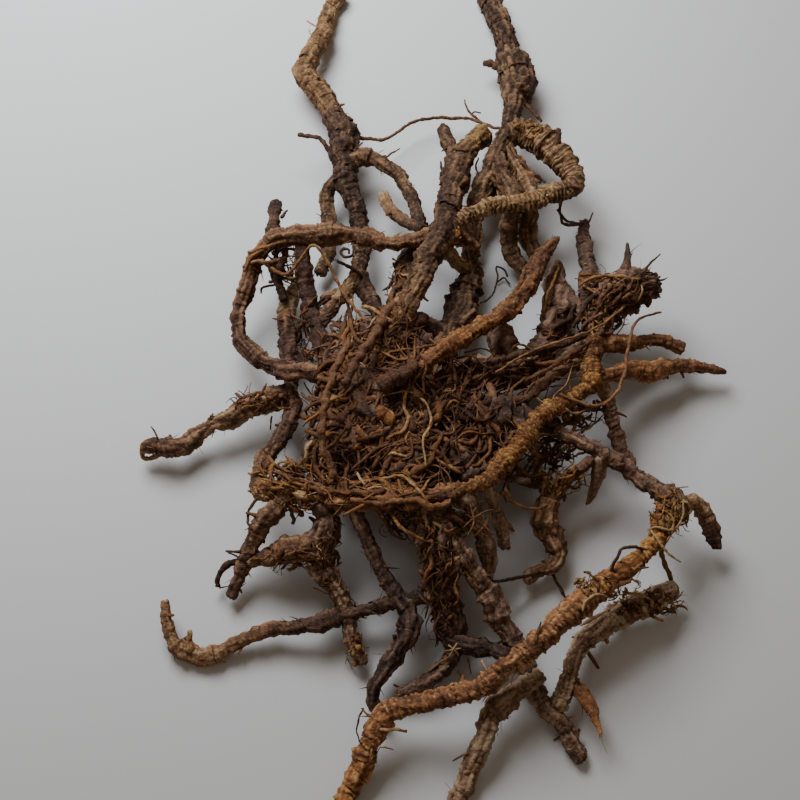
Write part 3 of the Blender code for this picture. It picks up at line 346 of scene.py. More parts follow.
# Finer roots that lie on the clump, each as (how far it stands off what is under it in millimetres, warmth,
# yellow flakes, points), where a point is: pixels across, pixels down, width in pixels.
LAID_ROOTS = {
    "middle_under_root": (-1.5, 0.3, 0.2, [
        (423, 315, 14), (412, 328, 15), (396, 344, 15), (380, 365, 14), (358, 396, 12)]),
    "mat_pale": (1, 0.72, 0.3, [(331, 396, 3.3), (337, 410, 4), (333, 421, 4), (322, 435, 2.6)]),
    "mat_thread": (0.8, 0.55, 0.3, [(342, 446, 2), (351, 435, 2), (367, 427, 2.6), (380, 426, 2)]),
    "mat_ochre": (2.4, 0.76, 0.6, [
        (410, 385, 2.6), (405, 398, 3.3), (405, 410, 4), (409, 419, 4), (403, 430, 3.3), (389, 437, 2.6)]),
    "mat_straw": (3, 0.88, 0.6, [
        (383, 396, 2), (410, 392, 2), (421, 398, 2.6), (430, 412, 2.6), (430, 426, 2.6), (424, 437, 2.6),
        (426, 466, 2)]),
    "mat_side": (1, 0.8, 0.5, [(435, 426, 2), (444, 410, 2.6), (455, 400, 2.6), (460, 403, 2)]),
    "belt_straw": (1.2, 0.76, 0.6, [
        (313, 489, 2.6), (346, 484, 3.3), (380, 480, 3.3), (403, 476, 3.3), (412, 484, 4), (419, 491, 3.3),
        (430, 505, 2.6)]),
    "belt_strand": (1, 0.58, 0.4, [
        (350, 500, 4), (380, 503, 5), (415, 500, 6), (435, 507, 7), (452, 501, 6)]),
    "belt_leaf": (1.2, 0.72, 0.6, [(430, 455, 2), (444, 464, 4), (457, 471, 4), (462, 474, 1.3)]),
    "mat_yellow": (1.2, 0.9, 0.8, [(369, 334, 2), (375, 335, 2.6), (373, 343, 2), (370, 351, 2)]),
    "mat_grey": (1.5, 0.5, 0.1, [
        (430, 339, 2), (435, 343, 2.6), (417, 349, 3.3), (407, 358, 2.6), (401, 358, 2)]),
    "red_root": (0.6, 0.5, 0, [(490, 383, 7), (492, 395, 7), (489, 410, 6), (487, 425, 5), (493, 440, 4)]),
    "dark_hook": (1.5, 0.1, 0, [
        (480, 303, 2.6), (490, 298, 2), (496, 285, 2), (498, 275, 2), (496, 267, 2), (502, 268, 2),
        (508, 277, 2)]),
    "dark_hook_fork": (1.2, 0.1, 0, [(497, 282, 2), (503, 278, 2), (510, 284, 1.3)]),
    "head_crest": (1, 0.72, 0.7, [
        (579, 286, 2.6), (590, 279, 3.3), (605, 276, 3.3), (625, 277, 3.3), (640, 279, 2)]),
    "head_fray": (0.8, 0.76, 0.6, [(581, 284, 2), (590, 290, 2.6), (598, 294, 2)]),
    "head_root": (1.2, 0.4, 0.3, [(606, 290, 5), (600, 300, 5), (598, 310, 4), (588, 322, 4)]),
    "head_root_dark": (0.6, 0.2, 0.1, [(597, 295, 6), (588, 302, 5), (580, 315, 5), (574, 327, 4)]),
    "head_twig": (0.6, 0.3, 0.1, [(636, 279, 2.6), (648, 266, 2.6), (660, 254, 1.3)]),
    "fan_edge": (0.8, 0.34, 0.2, [(509, 145, 3.3), (525, 166, 4), (545, 182, 2.6)]),
    "loop_blob": (1.2, 0.88, 0.6, [(501, 490, 5), (505, 492, 7), (510, 496, 4)]),
    "loose_root_1": (1.6, 0.56, 0.5, [(466, 514, 1.3), (480, 522, 2), (494, 535, 1.3)]),
    "loose_root_2": (2.2, 0.56, 0.5, [(463, 528, 1.3), (476, 516, 2), (494, 509, 1.3)]),
    "loose_root_3": (1.8, 0.56, 0.5, [(470, 505, 1.3), (474, 520, 2), (468, 536, 1.3)]),
    "loose_root_4": (2.4, 0.56, 0.5, [(474, 536, 1.3), (486, 524, 2), (490, 506, 1.3)]),
    "loose_root_5": (1.2, 0.56, 0.5, [(464, 520, 1.3), (478, 530, 2), (488, 531, 1.3)]),
    "foot_tuft_1": (1, 0.9, 0.4, [(448, 645, 1.3), (454, 650, 2), (459, 656, 1.3)]),
    "foot_tuft_2": (1.4, 0.9, 0.4, [(457, 643, 1.3), (453, 650, 2), (449, 658, 1.3)]),
    "foot_tuft_3": (1.2, 0.88, 0.4, [(445, 651, 1.3), (453, 650, 2), (461, 648, 1.3)]),
    "foot_twig": (0.6, 0.55, 0.4, [(428, 671, 2), (438, 664, 2.6), (450, 656, 2)]),
    "front_thorn": (1, 0.4, 0.1, [(535, 641, 4), (538, 632, 3.3), (541, 622, 1.3)]),
    "front_hair_1": (1.2, 0.82, 0.4, [(468, 659, 2), (470, 666, 2), (471, 674, 1.3)]),
    "front_hair_2": (1.2, 0.82, 0.4, [(482, 661, 2), (485, 665, 2), (487, 671, 1.3)]),
    "front_hair_3": (1.2, 0.88, 0.3, [(457, 670, 2), (460, 674, 2), (462, 679, 1.3)]),
    "front_hair_4": (1, 0.86, 0.3, [(380, 747, 2), (387, 748, 2), (393, 749, 1.3)]),
    "front_dark_hair": (1, 0.12, 0, [(363, 708, 2), (359, 718, 2), (357, 730, 2), (359, 742, 1.3)]),
    "front_loop": (1.4, 0.9, 0.4, [
        (582, 612, 2), (585, 602, 2.6), (592, 596, 2.6), (602, 595, 2.6), (610, 598, 1.3)]),
    "front_flap_1": (0.8, 0.84, 0.3, [(622, 592, 2), (632, 594, 4), (646, 597, 3.3), (652, 601, 1.3)]),
    "front_flap_2": (0.8, 0.82, 0.2, [(630, 602, 1.3), (640, 603, 3.3), (650, 606, 2)]),
    "front_flap_3": (0.8, 0.82, 0.2, [(581, 626, 1.3), (590, 620, 4), (600, 614, 3.3), (606, 611, 1.3)]),
    "knot_strand_1": (1.2, 0.9, 0.7, [
        (648, 530, 2), (655, 527, 2.6), (668, 530, 2.6), (677, 527, 2.6), (683, 515, 2.6), (683, 500, 2)]),
    "knot_strand_2": (1.2, 0.9, 0.7, [
        (650, 528, 2), (655, 536, 2.6), (662, 547, 2.6), (672, 556, 2.6), (681, 562, 1.3)]),
    "knot_strand_3": (1, 0.8, 0.7, [(665, 510, 2), (672, 518, 2.6), (672, 530, 2.6), (667, 542, 2)]),
    "knot_hair": (0.8, 0.9, 0.2, [(665, 487, 1.3), (677, 488, 1.3), (688, 487, 1.3)]),
    "left_fibre_1": (1, 0.74, 0.4, [(250, 263, 3), (260, 261, 4), (270, 262, 4), (286, 257, 3)]),
    "left_fibre_2": (0.8, 0.66, 0.5, [(248, 252, 3), (256, 250, 4), (266, 247, 4), (280, 243, 3)]),
    "left_fibre_3": (0.8, 0.6, 0.3, [(244, 272, 3), (248, 262, 4), (255, 254, 4), (266, 250, 3)]),
    "loop_dark_twig": (0.3, 0.16, 0.05, [(272, 262, 9), (276, 276, 10), (280, 288, 9), (284, 301, 7)]),
    "loop_curl": (0.6, 0.14, 0, [(275, 284, 2.6), (268, 286, 2.6), (262, 288, 2.6), (261, 294, 1.3)]),
    "stub_spur": (0.6, 0.24, 0, [(281, 218, 4), (284, 214, 3), (288, 210, 2)]),
    "short_fork": (.6, .2, 0, [(337, 261, 3), (343, 264, 4), (349, 267, 4), (356, 271, 3.3), (362, 276, 3)]),
    "frayed_tip_1": (0.8, 0.1, 0, [(330, 297, 7), (323, 299, 5), (319, 303, 2)]),
    "frayed_tip_2": (0.8, 0.1, 0, [(328, 300, 4), (322, 304, 3.3), (318, 309, 1.3)]),
    "arm_hair_1": (1, 0.7, 0.1, [(307, 21, 1.3), (312, 24, 1.3), (318, 28, 1.2)]),
    "arm_hair_2": (1, 0.7, 0.1, [(309, 30, 1.3), (311, 34, 1.3), (314, 38, 1.2)]),
    "arm_hair_3": (1, 0.4, 0.1, [(355, 149, 2), (359, 146, 2), (363, 142, 1.3)]),
    "bridge_hair": (1, 0.4, 0.1, [(385, 158, 2), (392, 153, 2), (400, 149, 1.3)]),
    "hook_twig": (0.4, 0.2, 0, [
        (558, 210, 2.6), (565, 220, 2.6), (578, 223, 2.6), (588, 222, 2), (593, 213, 1.3)]),
    "claw_loop": (0.6, 0.34, 0.1, [
        (259, 497, 3.3), (252, 504, 3.3), (248, 513, 3.3), (248, 522, 3.3), (253, 530, 2.6)]),
    "claw_thread": (0.6, 0.2, 0, [(219, 588, 2), (226, 587, 1.3), (233, 584, 1.3)]),
    "claw_twig": (0.4, 0.24, 0.05, [(228, 552, 2), (235, 556, 2), (241, 560, 2.6)]),
    "leg_twig": (0.6, 0.3, 0, [(284, 320, 2.6), (279, 320, 2), (273, 319, 1.3)]),
    "reach_hair_1": (0.8, 0.4, 0.1, [(158, 438, 2), (155, 432, 2), (151, 426, 1.3)]),
    "reach_hair_2": (0.6, 0.4, 0.1, [(272, 416, 2), (271, 422, 2), (270, 430, 1.3)]),
    "reach_hair_3": (0.8, 0.34, 0, [(262, 392, 2), (264, 388, 2), (266, 383, 1.3)]),
    "leg_strand_1": (0.8, 0.52, 0.3, [(262, 452, 2), (272, 462, 2.6), (286, 470, 2.6), (304, 476, 2)]),
    "leg_strand_2": (0.8, 0.7, 0.5, [(258, 478, 2), (270, 481, 2.6), (288, 486, 2.6), (312, 492, 2)]),
    "leg_strand_3": (0.8, 0.46, 0.2, [(268, 470, 2), (290, 478, 2.6), (314, 484, 2.6), (336, 492, 2)]),
    "cross_root_1": (1, 0.34, 0.1, [(338, 362, 3.3), (352, 380, 4), (364, 404, 4), (370, 430, 3.3)]),
    "cross_root_2": (1.4, 0.4, 0.2, [(352, 470, 2.6), (372, 452, 3.3), (396, 442, 3.3), (420, 440, 2.6)]),
    "cross_root_3": (1.2, 0.3, 0.05, [(386, 470, 3.3), (390, 448, 4), (402, 428, 4), (418, 414, 2.6)]),
    "cross_root_4": (1, 0.44, 0.2, [(318, 456, 2.6), (336, 440, 3.3), (352, 418, 3.3), (356, 398, 2.6)]),
    "cross_root_5": (1.2, 0.36, 0.1, [(396, 360, 3.3), (386, 384, 4), (380, 410, 3.3), (366, 444, 2.6)]),
}

# Finer roots that leave the clump and end in the air, each as (warmth, flakes, points) with the same four
# columns as an arm
ARCHED_ROOTS = {
    "arch_spur": (.4, .3, [
        (480, 121, 9, 2.4), (471, 114, 10, 2.2), (466, 106, 11, 1.8), (465, 100, 11, 1.4)]),
    "arch_spur_2": (.4, .3, [(471, 114, 10, 2.2), (475, 112, 11, 1.8), (481, 113, 11, 1.4)]),
    "ring_curl": (.16, 0, [
        (366, 264, 12, 4), (360, 256, 13, 4), (356, 252, 12, 3.6), (350, 257, 12, 3.3), (344, 257, 12, 3),
        (341, 252, 12, 3), (345, 248, 12, 3), (349, 250, 12, 2.4), (349, 254, 11, 2)]),
    "curl_twig": (.22, .1, [(544, 560, 6, 5), (556, 580, 5, 4), (566, 598, 3, 3)]),
    "prop_loop": (.3, .1, [(478, 158, 20, 2), (476, 166, 17, 1.8), (478, 173, 15, 1.8), (483, 176, 13, 1.6)]),
    "middle_spur": (.2, .1, [(443, 174, 22, 3), (441, 167, 23, 2.6), (441, 161, 24, 2)]),
    "fan_root": (.3, .2, [(511, 144, 17, 4), (517, 158, 15, 3.6), (526, 170, 14, 3.2), (541, 183, 14, 3)]),
}

# How each arm is finished: the group it is made with, millimetres from ring to ring, how strong its rings,
# lengthwise folds and grain are, how shaggy its bark is, then its colour at shares of its length, each as
# (share, warmth from 0 for dark purple brown to 1 for straw, yellow flakes from 0 to 1). The warmths were
# fitted arm by arm to how bright each arm should come out, so besides the bark's own colour they carry
# painted light and shade.
FINISH = {name: Finish(*row) for name, row in {
    "top_left_arm": ("upper", 2.4, 0.8, 0.7, 1, 0.3, [
        (0, 0.71, 0.5), (0.4, 0.52, 0.6), (0.47, 0.3, 0.1), (0.72, 0.17, 0.05), (0.8, 0.25, 0.4),
        (0.9, 0.79, 0.4), (1, 0.37, 0.2)]),
    "branch_under_loop": ("upper", 1.9, 0.5, 0.9, 0.8, 0.2, [
        (0, 0.4, 0.3), (0.5, 0.31, 0.4), (1, 0.42, 0.5)]),
    "bridge_branch": ("upper", 1.8, 0.6, 0.9, 0.9, 0.2, [(0, 0.51, 0.5), (0.5, 0.27, 0.5), (1, 0.21, 0.3)]),
    "pale_stub": ("upper", 2.4, 0.3, 0.8, 0.5, 0.1, [(0, 0.9, 0.5), (0.3, 0.62, 0.4), (1, 0.42, 0.2)]),
    "middle_arm": ("upper", 2.3, 0.5, 0.9, 1, 0.5, [
        (0, 0.65, 1), (0.08, 0.56, 0.95), (0.16, 0.41, 0.35), (0.5, 0.28, 0.3), (0.75, 0.56, 0.4),
        (1, 0.55, 0.3)]),
    "short_twin": ("upper", 2, 0.3, 0.8, 0.8, 0.1, [(0, 0.29, 0.2), (1, 0.33, 0.2)]),
    "top_right_arm": ("upper", 2.4, 0.45, 1.1, 1, 0.35, [
        (0, 0.32, 0.25), (0.2, 0.29, 0.3), (0.28, 0.37, 0.3), (0.4, 0.22, 0.35), (0.6, 0.59, 0.3),
        (0.8, 0.24, 0.2), (1, 0.65, 0.2)]),
    "ringed_hook": ("upper", 1.7, 1.9, 0.25, 0.8, 0.3, [
        (0, 0.5, 0.6), (0.14, 0.72, 0.55), (0.22, 0.66, 0.35), (0.4, 0.7, 0.35), (0.46, 0.52, 0.3),
        (0.55, 0.76, 0.5), (0.85, 0.78, 0.6), (1, 0.62, 0.4)]),
    "hook_prop": ("upper", 2.1, 0.4, 1, 0.9, 0.4, [(0, 0.24, 0.3), (0.6, 0.53, 0.2), (1, 0.54, 0.2)]),
    "hook_root": ("upper", 2.1, 0.4, 1, 0.9, 0.4, [(0, 0.52, 0.3), (0.6, 0.62, 0.2), (1, 0.66, 0.2)]),
    "left_loop": ("left", 1.9, 0.5, 1.3, 0.9, 0.3, [
        (0, 0.65, 0.5), (0.25, 0.57, 0.5), (0.45, 0.63, 0.4), (0.58, 0.41, 0.3), (0.85, 0.32, 0.25),
        (0.95, 0.5, 0.4), (1, 0.52, 0.4)]),
    "loop_stub": ("left", 2, 0.4, 0.8, 0.7, 0.1, [
        (0, 0.4, 0.3), (0.5, 0.36, 0.2), (0.75, 0.18, 0), (1, 0.16, 0)]),
    "dark_stem": ("left", 2.3, 0.2, 0.5, 0.5, 0.1, [(0, 0.31, 0.05), (0.7, 0.18, 0.1), (1, 0.2, 0.25)]),
    "left_leg": ("left", 1.9, 0.6, 0.8, 1, 0.3, [
        (0, 0.92, 0.8), (0.14, 0.92, 0.7), (0.24, 0.14, 0.2), (0.5, 0.66, 0.1), (0.7, 0.27, 0.25),
        (0.8, 0.39, 0.5), (1, 0.78, 0.6)]),
    "left_reach": ("left", 2.2, 0.5, 1, 1, 0.5, [
        (0, 0.64, 0.5), (0.1, 0.47, 0.25), (0.7, 0.65, 0.2), (0.85, 0.74, 0.4), (1, 0.3, 0.2)]),
    "slant_arm": ("front", 1.8, 0.6, 0.8, 1.2, 0.5, [
        (0, 0.3, 0.2), (0.12, 0.32, 0.2), (0.36, 0.44, 0.45), (0.7, 0.52, 0.5), (0.9, 0.46, 0.3),
        (1, 0.44, 0.1)]),
    "waist_arm": ("front", 1.5, 0.8, 0.3, 1.3, 0.3, [
        (0, 0.2, 0.5), (0.15, 0.42, 0.7), (0.6, 0.42, 0.8), (0.8, 0.38, 0.8), (1, 0.32, 0.5)]),
    "belt_arm": ("front", 2.1, 0.3, 1.2, 0.9, 0.7, [
        (0, 0.62, 0.3), (0.3, 0.66, 0.3), (0.7, 0.4, 0.2), (1, 0.36, 0.2)]),
    "upper_finger": ("front", 1.8, 0.5, 0.8, 0.8, 0.1, [
        (0, 0.44, 0.1), (0.4, 0.54, 0.2), (0.8, 0.5, 0.1), (1, 0.36, 0.1)]),
    "pointed_finger": ("front", 1.9, 0.6, 0.8, 1, 0.15, [
        (0, 0.42, 0.1), (0.3, 0.56, 0.35), (0.55, 0.54, 0.4), (0.7, 0.5, 0.2), (0.9, 0.42, 0.1),
        (1, 0.2, 0)]),
    "broken_head": ("right", 2.6, 0.3, 2.6, 1.6, 1.1, [(0, 0.54, 0.4), (0.5, 0.5, 0.4), (1, 0.36, 0.1)]),
    "head_spike": ("right", 2.6, 0.2, 0.8, 0.6, 0.2, [(0, 0.57, 0.6), (0.6, 0.21, 0.1), (1, 0.12, 0)]),
    "head_lump": ("right", 2.6, 0.2, 1, 1, 0.5, [(0, 0.52, 0.3), (1, 0.36, 0.3)]),
    "hidden_stub": ("right", 1.9, 1, 0.3, 0.8, 0.1, [(0, 0.44, 0.3), (0.6, 0.36, 0.2), (1, 0.41, 0.35)]),
    "back_prop": ("right", 1.9, 1, 0.3, 0.8, 0.1, [(0, 0.74, 0.2), (1, 0.6, 0.25)]),
    "buried_arm": ("right", 2.2, 0.3, 1, 0.7, 0.5, [(0, 0.76, 0.15), (1, 0.71, 0.15)]),
    "buried_branch": ("crown", 2.2, 0.3, 1, 0.8, 0.6, [(0, 0.31, 0.15), (1, 0.18, 0.15)]),
    "buried_low": ("crown", 2.2, 0.3, 1, 0.7, 0.5, [(0, 0.27, 0.15), (1, 0.77, 0.15)]),
    "buried_stem": ("crown", 2.2, 0.3, 1, 0.8, 0.5, [(0, 0.66, 0.4), (0.5, 0.53, 0.3), (1, 0.68, 0.2)]),
    "back_root": ("right", 2, 0.3, 1, 0.8, 0.4, [(0, 0.92, 0.5), (1, 0.92, 0.5)]),
    "right_shoulder": ("right", 2.6, 0.4, 0.7, 0.9, 0.3, [
        (0, 0.54, 0.25), (0.35, 0.48, 0.3), (0.7, 0.47, 0.3), (0.86, 0.39, 0.7), (1, 0.56, 0.9)]),
    "drooping_tip": ("left", 1.8, 0.6, 0.8, 0.7, 0.1, [
        (0, 0.66, 0.5), (0.4, 0.74, 0.5), (0.62, 0.6, 0.2), (0.75, 0.3, 0), (1, 0.14, 0)]),
    "curled_leg": ("left", 2.1, 0.3, 1, 0.9, 0.3, [
        (0, 0.4, 0.2), (0.25, 0.6, 0.4), (0.4, 0.62, 0.3), (0.7, 0.66, 0.3), (1, 0.72, 0.5)]),
    "hanging_root": ("right", 2.4, 0.3, 0.8, 0.6, 0.2, [(0, 0.66, 0.1), (1, 0.64, 0.1)]),
    "blunt_stub": ("legs", 2, 0.5, 0.9, 0.9, 0.5, [(0, 0.78, 0.3), (1, 0.69, 0.4)]),
    "front_arm": ("front", 2.2, 1.25, 0.6, 1.2, 0.5, [
        (0, 0.58, 0.8), (0.1, 0.66, 0.7), (0.22, 0.66, 0.4), (0.4, 0.58, 0.1), (0.7, 0.54, 0.15),
        (0.85, 0.62, 0.3), (1, 0.68, 0.5)]),
    "rear_runner": ("legs", 2.2, 0.5, 1, 1, 0.9, [
        (0, 0.88, 0.7), (0.5, 0.79, 0.65), (0.8, 0.69, 0.5), (1, 0.82, 0.7)]),
    "splinter": ("front", 2.6, 0.3, 0.6, 0.5, 0.2, [(0, 0.5, 0.3), (0.6, 0.54, 0.3), (1, 0.74, 0.3)]),
    "front_prop": ("legs", 2.4, 0.6, 1, 1, 0.5, [(0, 0.65, 0.6), (0.4, 0.82, 0.7), (1, 0.67, 0.6)]),
    "long_leg": ("legs", 2.3, 0.5, 1, 1, 0.35, [
        (0, 0.58, 0.3), (0.3, 0.58, 0.6), (0.55, 0.42, 0.3), (0.75, 0.66, 0.2), (0.85, 0.57, 0.6),
        (0.94, 0.57, 0.7), (1, 0.42, 0.3)]),
    "dark_prop": ("legs", 2.2, 0.3, 1.1, 1, 0.9, [(0, 0.58, 0.3), (1, 0.39, 0.4)]),
    "bent_leg": ("legs", 2.2, 0.3, 1.4, 0.7, 0.3, [(0, 0.17, 0.1), (0.4, 0.29, 0.1), (1, 0.24, 0.3)]),
    "slim_leg": ("legs", 2.2, 0.3, 1, 0.8, 0.4, [(0, 0.61, 0.2), (1, 0.26, 0.1)]),
    "fuzzy_leg": ("legs", 2.2, 0.3, 1, 1, 0.6, [(0, 0.46, 0.4), (0.5, 0.59, 0.5), (1, 0.47, 0.6)]),
    "lower_sweep": ("left", 1.9, 0.6, 0.8, 0.9, 0.3, [
        (0, 0.67, 0.4), (0.3, 0.73, 0.5), (0.5, 0.61, 0.4), (0.62, 0.35, 0.1), (1, 0.2, 0.1)]),
    "claw_arm": ("left", 2.1, 0.5, 0.9, 1, 0.5, [(0, 0.5, 0.2), (0.5, 0.56, 0.15), (1, 0.38, 0.1)]),
    "claw_branch": ("left", 2.1, 0.4, 1.1, 0.9, 0.6, [(0, 0.6, 0.3), (1, 0.6, 0.3)]),
    "dark_arch": ("legs", 2.2, 0.3, 1, 0.8, 0.8, [(0, 0.15, 0.1), (1, 0.19, 0.1)]),
    "heart_stem": ("legs", 2.2, 0.3, 1, 0.8, 0.7, [(0, 0.68, 0.2), (1, 0.63, 0.1)]),
    "under_mass": ("crown", 2.4, 0.3, 1, 1, 1, [(0, 0.89, 0.2), (1, 0.86, 0.2)]),
    "leg_link": ("legs", 2.2, 0.2, 1, 0.6, 0.5, [(0, 0.19, 0.05), (1, 0.15, 0.05)]),
    "rust_stub": ("right", 2, 0.3, 0.8, 0.6, 0.3, [(0, 0.39, 0.3), (1, 0.56, 0.2)]),
    "back_knob": ("crown", 2.2, 0.3, 1, 0.8, 0.6, [(0, 0.59, 0.1), (1, 0.34, 0.15)]),
    "heart_low": ("crown", 2.4, 0.3, 1, 0.9, 0.9, [(0, 0.69, 0.15), (1, 0.59, 0.15)]),
    "heart_middle": ("crown", 2.4, 0.3, 1, 0.9, 0.9, [(0, 0.26, 0.15), (1, 0.17, 0.15)]),
    "crown_long": ("crown", 2.6, 0.3, 1.2, 1.2, 1, [(0, 0.39, 0.2), (1, 0.23, 0.2)]),
    "crown_cross": ("crown", 2.6, 0.3, 1.2, 1.2, 1, [(0, 0.53, 0.2), (1, 0.4, 0.2)]),
    "crown_top": ("crown", 2.6, 0.3, 1.2, 1.2, 1, [(0, 0.4, 0.2), (1, 0.34, 0.2)]),
    "crown_side": ("crown", 2.6, 0.3, 1.2, 1.2, 1, [(0, 0.36, 0.2), (1, 0.31, 0.2)]),
    "crown_link": ("crown", 2.4, 0.3, 1.2, 1, 0.8, [(0, 0.61, 0.2), (1, 0.24, 0.2)]),
    "twin_stem": ("upper", 2.2, 0.4, 1, 0.9, 0.6, [(0, 0.4, 0.3), (1, 0.2, 0.3)]),
    "neck_link": ("upper", 2.2, 0.3, 0.8, 0.9, 0.5, [(0, 0.79, 0.7), (0.5, 0.84, 0.5), (1, 0.44, 0.3)]),
    "hook_fan": ("upper", 2.2, 0.3, 1.5, 1, 0.9, [(0, 0.41, 0.3), (1, 0.27, 0.3)]),
    "side_piece": ("left", 2.2, 0.3, 0.8, 0.9, 0.5, [(0, 0.24, 0.2), (1, 0.16, 0.3)]),
}.items()}

# How bright, rough and strongly coloured the bark of each group is, and its hue where it isn't a half.
# Besides the bark's own tones these carry painted light: the weaker colour of the upper arms paints the
# glare of the light on them, and the weaker colour of the right arms, legs and crown offsets the warm room
# light in their shade.
ARM_GROUPS = {"upper": (1.0, 0.75, 0.86, 0.508), "left": (1.0, 0.75, 0.86), "right": (1.0, 0.75, 0.77),
              "front": (1.45, 0.75, 1.0), "legs": (1.0, 0.75, 0.74), "crown": (0.95, 0.85, 0.74)}

# Where rootlets mat together: the middle and half-widths in pixels, the least and greatest height in
# millimetres, then the number of rootlets, their length and width in pixels, the way they mostly run in
# degrees, how far they stray from it, warmth and yellow flakes.
TANGLES = {name: Region(*row) for name, row in {
    "mat_top": ((374, 350), (48, 38), (20, 41), 150, 52, 3.2, -50, 70, 0.42, 0.3),
    "mat_middle": ((380, 402), (58, 50), (22, 44), 320, 56, 3.3, -55, 80, 0.42, 0.25),
    "mat_low": ((384, 455), (68, 38), (22, 42), 260, 54, 3.2, -30, 80, 0.4, 0.3),
    "mat_left": ((324, 430), (12, 50), (14, 38), 44, 56, 3.6, -70, 40, 0.4, 0.3),
    "mat_knots": ((376, 410), (56, 70), (26, 44), 30, 26, 6.5, -60, 80, 0.38, 0.3),
    "belt_wool": ((300, 480), (40, 16), (16, 30), 110, 34, 2.2, 20, 40, 0.56, 0.5),
    "belt_skin": ((365, 490), (66, 10), (28, 38), 56, 64, 2.8, 2, 18, 0.54, 0.45),
    "right_mat": ((468, 405), (36, 46), (12, 34), 150, 50, 3.0, -40, 80, 0.34, 0.2),
    "right_reach": ((525, 372), (52, 22), (12, 32), 70, 66, 3, -24, 26, 0.36, 0.3),
    "right_low": ((500, 452), (52, 30), (10, 28), 80, 52, 3, -20, 70, 0.34, 0.25),
    "under_belt": ((428, 520), (44, 18), (16, 32), 50, 40, 3, 70, 60, 0.34, 0.3),
    "claw_wool": ((290, 560), (34, 9), (8, 22), 56, 26, 2.2, -10, 60, 0.42, 0.4),
    "claw_top": ((300, 505), (20, 10), (12, 26), 24, 26, 2.6, -30, 60, 0.36, 0.3),
    "prop_wool": ((441, 575), (17, 56), (9, 28), 84, 42, 2.6, 88, 26, 0.32, 0.25),
    "leg_wool": ((328, 556), (12, 38), (10, 22), 44, 30, 2.2, 80, 36, 0.42, 0.4),
    "leg_foot": ((354, 650), (10, 14), (3, 12), 26, 16, 2, 60, 50, 0.6, 0.6),
    "runner_wool": ((648, 604), (34, 12), (3, 15), 84, 22, 2.2, 8, 60, 0.42, 0.5),
    "front_wool": ((606, 586), (34, 11), (22, 29), 50, 18, 2, -30, 80, 0.6, 0.5),
    "knot_wool": ((671, 514), (17, 22), (18, 28), 64, 24, 2.2, 75, 50, 0.6, 0.55),
    "head_wool": ((612, 292), (24, 14), (17, 28), 76, 26, 2.4, -30, 40, 0.38, 0.3),
    "head_straw": ((604, 282), (26, 9), (22, 29), 40, 22, 1.8, -8, 50, 0.56, 0.4),
    "head_splinters": ((636, 291), (17, 13), (20, 31), 46, 22, 2.6, -36, 28, 0.34, 0.25),
    "head_under": ((604, 318), (22, 14), (14, 26), 44, 34, 2.4, -50, 50, 0.42, 0.4),
    "hook_gap": ((512, 186), (18, 22), (12, 20), 60, 40, 2.4, 76, 22, 0.42, 0.2),
    "hook_crumbs": ((530, 130), (16, 8), (19, 25), 16, 12, 2.6, 20, 90, 0.6, 0.4),
    "neck_crumbs": ((459, 238), (8, 9), (20, 30), 22, 12, 3.2, 60, 90, 0.72, 0.6),
    "curl_wool": ((562, 480), (24, 14), (13, 20), 50, 24, 2.2, -35, 60, 0.46, 0.6),
    "reach_wool": ((262, 402), (26, 10), (9, 18), 40, 26, 2, -20, 40, 0.42, 0.35),
    "middle_wool": ((396, 330), (20, 28), (28, 40), 60, 36, 2.4, 115, 40, 0.42, 0.35),
    "twin_wool": ((398, 282), (10, 26), (20, 30), 30, 30, 2.6, 100, 30, 0.4, 0.3),
    "dark_heart": ((557, 326), (11, 20), (8, 18), 30, 40, 2.8, -70, 50, 0.3, 0.2),
    "crown_left": ((332, 356), (20, 28), (18, 32), 40, 40, 3, -60, 30, 0.36, 0.2),
    "loop_under": ((284, 266), (16, 18), (8, 22), 40, 30, 2.8, 60, 60, 0.44, 0.4),
    "stem_gap": ((308, 335), (10, 30), (10, 20), 40, 34, 2.6, 80, 36, 0.32, 0.2),
    "back_fill": ((582, 415), (20, 14), (8, 20), 30, 34, 2.6, -20, 60, 0.36, 0.3),
    "low_fill": ((562, 450), (20, 12), (9, 20), 34, 32, 2.6, -30, 60, 0.36, 0.3),
}.items()}


def level_frames(points, side):
    """Tangents and two unit vectors square to them, for many curves of as many stations each.

    Each station takes the side vector of the one before and makes it square to its own tangent, so a
    curve isn't twisted. The last vector is tangent cross side.
    """
    tangents = np.gradient(points, axis=1)
    tangents /= np.maximum(np.linalg.norm(tangents, axis=2, keepdims=True), 1e-9)
    sides = np.empty_like(points)
    for station in range(points.shape[1]):
        tangent = tangents[:, station]
        side = side - tangent * (side * tangent).sum(axis=1, keepdims=True)
        side = side / np.maximum(np.linalg.norm(side, axis=1, keepdims=True), 1e-9)
        sides[:, station] = side
    return tangents, sides, np.cross(tangents, sides)


def on_sight_lines(across, down, height):
    """Points where each pixel's sight line comes down to its height in millimetres, and real size per pixel.

    A sight line is forward + across * right + up, each offset being pixels over focal length. Its
    forward share is 1, so the factor that brings it to the height is also the depth.
    """
    lines = (FORWARD + ((across - FRAME_MIDDLE) / FOCAL_PIXELS)[..., None] * RIGHT
             + ((FRAME_MIDDLE - down) / FOCAL_PIXELS)[..., None] * UP)
    depth = (height * MM - EYE[2]) / lines[..., 2]
    return EYE + lines * depth[..., None], depth / FOCAL_PIXELS


def held_between(points, lowest, headroom=0.0):
    """The points, kept over a lowest height and under the solid's top less a headroom, in millimetres."""
    points[..., 2] = np.clip(points[..., 2], lowest * MM, TOP - headroom * MM)
    return points


